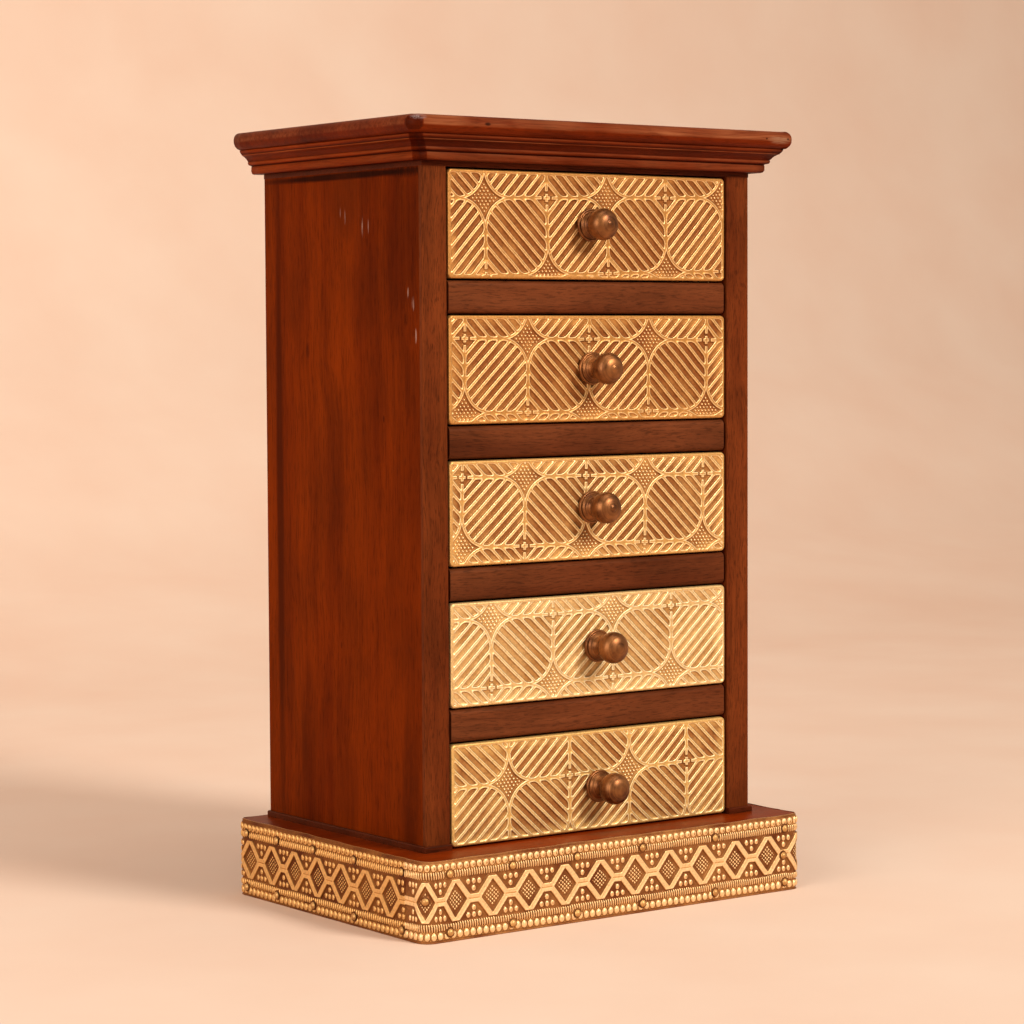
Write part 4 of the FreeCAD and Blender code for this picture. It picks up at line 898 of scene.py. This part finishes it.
def make_knob(number):
    low, high = (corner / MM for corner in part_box(f"drawer_{number}_knob"))
    face_y, middle_x, middle_z = high.y, (low.x + high.x) / 2, (low.z + high.z) / 2
    ball_out = high.y - low.y - NIPPLE_REACH
    ball = BALL_PROFILE + (NIPPLE if number in NIPPLED else PLAIN)
    profile = FOOT_PROFILE + [(radius, ball_out + out) for radius, out in ball if ball_out + out > FOOT_REACH]
    shape = bmesh.new()
    verts = [shape.verts.new((middle_x + radius, face_y - out, middle_z)) for radius, out in profile]
    edges = [shape.edges.new(pair) for pair in zip(verts, verts[1:])]
    bmesh.ops.spin(shape, geom=verts + edges, cent=(middle_x, face_y, middle_z), axis=(0.0, 1.0, 0.0),
                   angle=2 * math.pi, steps=64, use_merge=True)
    bmesh.ops.remove_doubles(shape, verts=shape.verts, dist=1e-4)
    bmesh.ops.recalc_face_normals(shape, faces=shape.faces)
    name = f"turned_knob_{number}"
    knob = add_piece(name, mesh_from(shape, name), f"drawer_{number}", knob_bronze,
                     f"drawer_{number}_knob")
    rounding = knob.modifiers.new("rounding", "SUBSURF")
    rounding.levels = rounding.render_levels = 1
    return knob


knobs = [make_knob(number) for number in DRAWERS]
print("turned", len(knobs), "knobs, each of", len(knobs[0].data.polygons), "faces before rounding")

# %% [markdown]
# The crown is a moulding that runs along the front and returns along both sides, with mitred corners. Its
# profile is swept: one edge loop is extruded from station to station. The left corner was blunted from top
# to bottom, so there the two sweeps stop at a chamfer and meet in its middle. Each point carries a number
# for wear and shading: above zero on proud edges, where hands and dusters rubbed the stain away and a
# painted highlight lightens them, and below zero as painted shade in the grooves and as grime on the chamfer.

# %% Sweep the crown
# distance out from the carcass, height above the crown's foot, in millimetres, and a number for wear and
# shading: above zero rubbed edges and painted highlights, below zero painted shade in the quirks, cove and underside
CROWN_PROFILE = [
    (0.0, 0.0, -0.7), (4.3, 0.0, -0.6), (5.2, 0.35, 0.1), (5.75, 1.3, 0.25), (5.8, 3.3, 0.25), (5.7, 3.75, 0.40),
    (5.5, 4.0, -0.9), (5.9, 4.25, -0.9), (7.0, 4.55, -0.3), (7.35, 4.7, 0.0), (7.75, 5.4, 0.35), (7.75, 6.0, 0.25),
    (7.5, 6.25, -0.7), (7.9, 6.6, -0.45), (8.5, 7.4, -0.40), (9.4, 8.3, -0.45), (10.4, 8.95, -0.35), (11.0, 9.2, 0.6),
    (11.3, 9.4, 0.7), (11.2, 9.65, -0.9), (11.6, 9.9, -0.6), (12.1, 10.6, 0.0), (12.35, 11.2, 0.35),
    (12.4, 11.75, -0.5), (0.0, 11.75, 0.0),
]
# length of the chamfer's legs at the blunted corner
BLUNT = 4.5


def sweep(profile, stations, name):
    """Extrudes a closed profile through stations. Each turns (out, up) into a point and has its own dirt."""
    shape = bmesh.new()
    wear_and_shading = shape.verts.layers.float.new("wear_and_shading")
    ring, edges, first_edges = [], [], []
    for number, (station, dirt) in enumerate(stations):
        if ring:
            fresh = sorted_like(new_points(bmesh.ops.extrude_edge_only(shape, edges=edges)), ring)
        else:
            fresh = [shape.verts.new() for point in profile]
        for vert, (out, up, worn_and_lit) in zip(fresh, profile):
            vert.co = station(out, up)
            patch = 0.75 + 0.35 * float(unevenness(vert.co.x * 0.7, vert.co.y * 0.7 + up, 3))
            vert[wear_and_shading] = (worn_and_lit * patch if worn_and_lit > 0 else worn_and_lit) * (1 - dirt) - dirt
        ring = fresh
        pairs = [(ring[i], ring[(i + 1) % len(ring)]) for i in range(len(ring))]
        edges = [shape.edges.get(pair) or shape.edges.new(pair) for pair in pairs]
        first_edges = first_edges or list(edges)
        for edge in edges:
            edge.smooth = dirt == 0
    bmesh.ops.holes_fill(shape, edges=first_edges + edges, sides=0)
    bmesh.ops.recalc_face_normals(shape, faces=shape.faces)
    return mesh_from(shape, name)


def sorted_like(fresh, ring):
    """Puts newly extruded points in the order of the ring that they grew from."""
    fresh = set(fresh)
    return [next(edge.other_vert(vert) for edge in vert.link_edges if edge.other_vert(vert) in fresh)
            for vert in ring]


crown_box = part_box("crown_front")
body_low, body_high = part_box("carcass_cap")
foot = crown_box[0].z / MM
body_x, body_front = body_high.x / MM, body_low.y / MM
moulding_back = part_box("crown_returns")[1].y / MM


def steps_between(start, end, count):
    return [start + (end - start) * i / count for i in range(count + 1)]


def front_station(inset, share=None):
    """A station of the front moulding: so far in from the left corner, or at a share of the whole way."""
    def place(out, up):
        corner = body_x + out
        x = -corner + inset * min(1.0, out / 2) if share is None else corner * share
        return x, body_front - out, foot + up
    return place


def side_station(side, inset, share=None):
    """A station of a return: so far back from the front corner, or at a share of the whole way."""
    def place(out, up):
        start = body_front - out
        y = start + inset * min(1.0, out / 2) if share is None else start * (1 - share) + moulding_back * share
        return side * (body_x + out), y, foot + up
    return place


def blunt_station(out, up):
    half = BLUNT / 2 * min(1.0, out / 2)
    return -(body_x + out) + half, body_front - out + half, foot + up


front_stations = [(blunt_station, 0.75), (front_station(BLUNT), 0.55), (front_station(BLUNT + 0.7), 0.0)]
front_stations += [(front_station(0, share), 0.0) for share in steps_between(-0.9, 1.0, 26)]
left_stations = [(blunt_station, 0.75), (side_station(-1, BLUNT), 0.55), (side_station(-1, BLUNT + 0.7), 0.0)]
left_stations += [(side_station(-1, 0, share), 0.0) for share in steps_between(0.1, 1.0, 16)]
right_stations = [(side_station(1, 0, share), 0.0) for share in steps_between(0.0, 1.0, 16)]
crown_parts = [("crown_front_moulding", front_stations, crown_wood, "crown_front"),
               ("crown_return_left", left_stations, return_wood, "crown_returns"),
               ("crown_return_right", right_stations, return_wood, "crown_returns")]
crown_pieces = [add_piece(name, sweep(CROWN_PROFILE, stations, name), "cabinet", material, node)
                for name, stations, material, node in crown_parts]
print("crown pieces:", [piece.name for piece in crown_pieces])

# %% [markdown]
# The top board starts as a block of its full size. The left front corner is blunted with one flat bevel
# and the right one is eased. Then its front and side edges are bevelled into a full nosing, the block is
# cut across every few millimetres, and its points get their number for wear and shading: a pale line along
# the middle of the nosing, which is a painted highlight, and a lighter band above it, both stronger at the
# front, and grime on the blunted corner.

# %% Shape the top board
def make_top():
    low, high = (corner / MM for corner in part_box("top_board"))
    shape = bmesh.new()
    bmesh.ops.create_cube(shape, size=1.0)
    bmesh.ops.scale(shape, vec=high - low, verts=shape.verts)
    bmesh.ops.translate(shape, vec=(low + high) / 2, verts=shape.verts)
    for side, amount, segments in ((-1, BLUNT, 1), (1, 1.4, 3)):
        upright = [edge for edge in shape.edges
                   if all(vert.co.y < low.y + 0.1 and vert.co.x * side > 90 for vert in edge.verts)]
        bmesh.ops.bevel(shape, geom=upright, offset=amount, offset_type="OFFSET", affect="EDGES",
                        segments=segments, profile=0.5, material=-1)
    for level, radius, segments in ((high.z, 3.6, 7), (low.z, 4.2, 7)):
        rim = [edge for edge in shape.edges
               if all(abs(vert.co.z - level) < 0.01 for vert in edge.verts)
               and not all(vert.co.y > high.y - 0.1 for vert in edge.verts)
               and len(edge.link_faces) == 2 and any(abs(face.normal.z) < 0.5 for face in edge.link_faces)]
        bmesh.ops.bevel(shape, geom=rim, offset=radius, offset_type="OFFSET", affect="EDGES", segments=segments,
                        profile=0.5, material=-1)
    cuts = [(x, 0.0, (1, 0, 0)) for x in [low.x + 5.4, low.x + 6.6] + steps_between(low.x + 14, high.x - 6, 22)]
    cuts += [(0.0, y, (0, 1, 0)) for y in [low.y + 5.4, low.y + 6.6] + steps_between(low.y + 14, high.y - 6, 14)]
    for x, y, across in cuts:
        geometry = shape.verts[:] + shape.edges[:] + shape.faces[:]
        bmesh.ops.bisect_plane(shape, geom=geometry, plane_co=(x, y, 0.0), plane_no=across)
    wear_and_shading = shape.verts.layers.float.new("wear_and_shading")
    for vert in shape.verts:
        x, y, z = vert.co
        patch = 0.7 + 0.5 * float(unevenness(x * 0.7, y * 0.7, 5))
        # 0.75 paints a highlight along the middle of the nosing; 0.45 lightens the band above it
        worn_and_lit = 0.75 if abs(z - low.z - 4.4) < 0.8 else 0.45 if z > low.z + 5.3 else 0.0
        worn_and_lit *= 1.0 if y < low.y + 4.3 else 0.4
        inner = x > low.x + 6 and y > low.y + 6 and x < high.x - 6
        corner = (x - low.x) + (y - low.y) < BLUNT + 1.5
        vert[wear_and_shading] = -0.6 if corner else (0.12 if inner else worn_and_lit) * patch
    name = "top_board_nosed"
    return add_piece(name, mesh_from(shape, name), "cabinet", crown_wood, "top_board")


top = make_top()
print("top board has", len(top.data.polygons), "faces")

# %% [markdown]
# The chest stands on a plain pale floor that curves up behind it, so that no horizon shows. The main lamp
# stands high on the right of the camera and draws each knob's soft shadow down to the left. A broad lamp
# on the left keeps the side panel readable, and one overhead lights the ledge and the top.

# %% Floor, backdrop and light
def make_backdrop():
    material, tree, shader, place = new_material("backdrop_paper")
    colour = ramp(tree, noise(tree, place, 7.0, 6.0), [(0.3, (0.96, 0.67, 0.50)), (0.7, (0.99, 0.73, 0.56))])
    apart = add(tree, "ShaderNodeSeparateXYZ")
    join(tree, place, apart.inputs[0])
    # painted shade: the paper is darker towards the camera
    shade = remap(tree, apart.outputs["Y"], 0.64, 1.0, start=-0.6, end=1.4)
    join(tree, blend(tree, "MULTIPLY", 1.0, colour, shade), shader.inputs["Base Color"])
    set_values(shader, Roughness=0.9, Specular_IOR_Level=0.1)
    shape = bmesh.new()
    profile = [(-3.0, 0.0), (0.9, 0.0), (1.3, 0.06), (1.6, 0.25), (1.8, 0.6), (1.86, 1.2), (1.86, 3.0)]
    verts = [shape.verts.new((-4.0, y, z)) for y, z in profile]
    edges = [shape.edges.new(pair) for pair in zip(verts, verts[1:])]
    grown = bmesh.ops.extrude_edge_only(shape, edges=edges)
    bmesh.ops.translate(shape, vec=(8.0, 0.0, 0.0), verts=new_points(grown))
    bmesh.ops.recalc_face_normals(shape, faces=shape.faces)
    mesh = mesh_from(shape, "backdrop", 1.0)
    dress(mesh, material)
    add_object("backdrop", mesh)


def add_lamp(name, place, target, size, power, colour):
    data = bpy.data.lights.new(name, "AREA")
    data.shape = "DISK"
    data.size = size
    data.energy = power
    data.color = colour
    lamp = add_object(name, data)
    lamp.location = place
    lamp.rotation_euler = (Vector(target) - Vector(place)).to_track_quat("-Z", "Y").to_euler()


make_backdrop()
add_lamp("key", (0.55, -2.0, 1.45), (0.0, 0.0, 0.2), 0.7, 52.0, (1.0, 0.97, 0.92))
add_lamp("side", (-2.0, -0.7, 0.75), (0.0, 0.0, 0.2), 1.6, 32.0, (1.0, 0.96, 0.90))
add_lamp("over", (0.0, -0.3, 2.2), (0.0, 0.0, 0.0), 1.4, 14.0, (1.0, 0.97, 0.92))
world = bpy.data.worlds.new("studio")
bpy.context.scene.world = world
world.use_nodes = True
set_values(world.node_tree.nodes["Background"], Color=(1.0, 0.94, 0.87, 1.0), Strength=0.32)
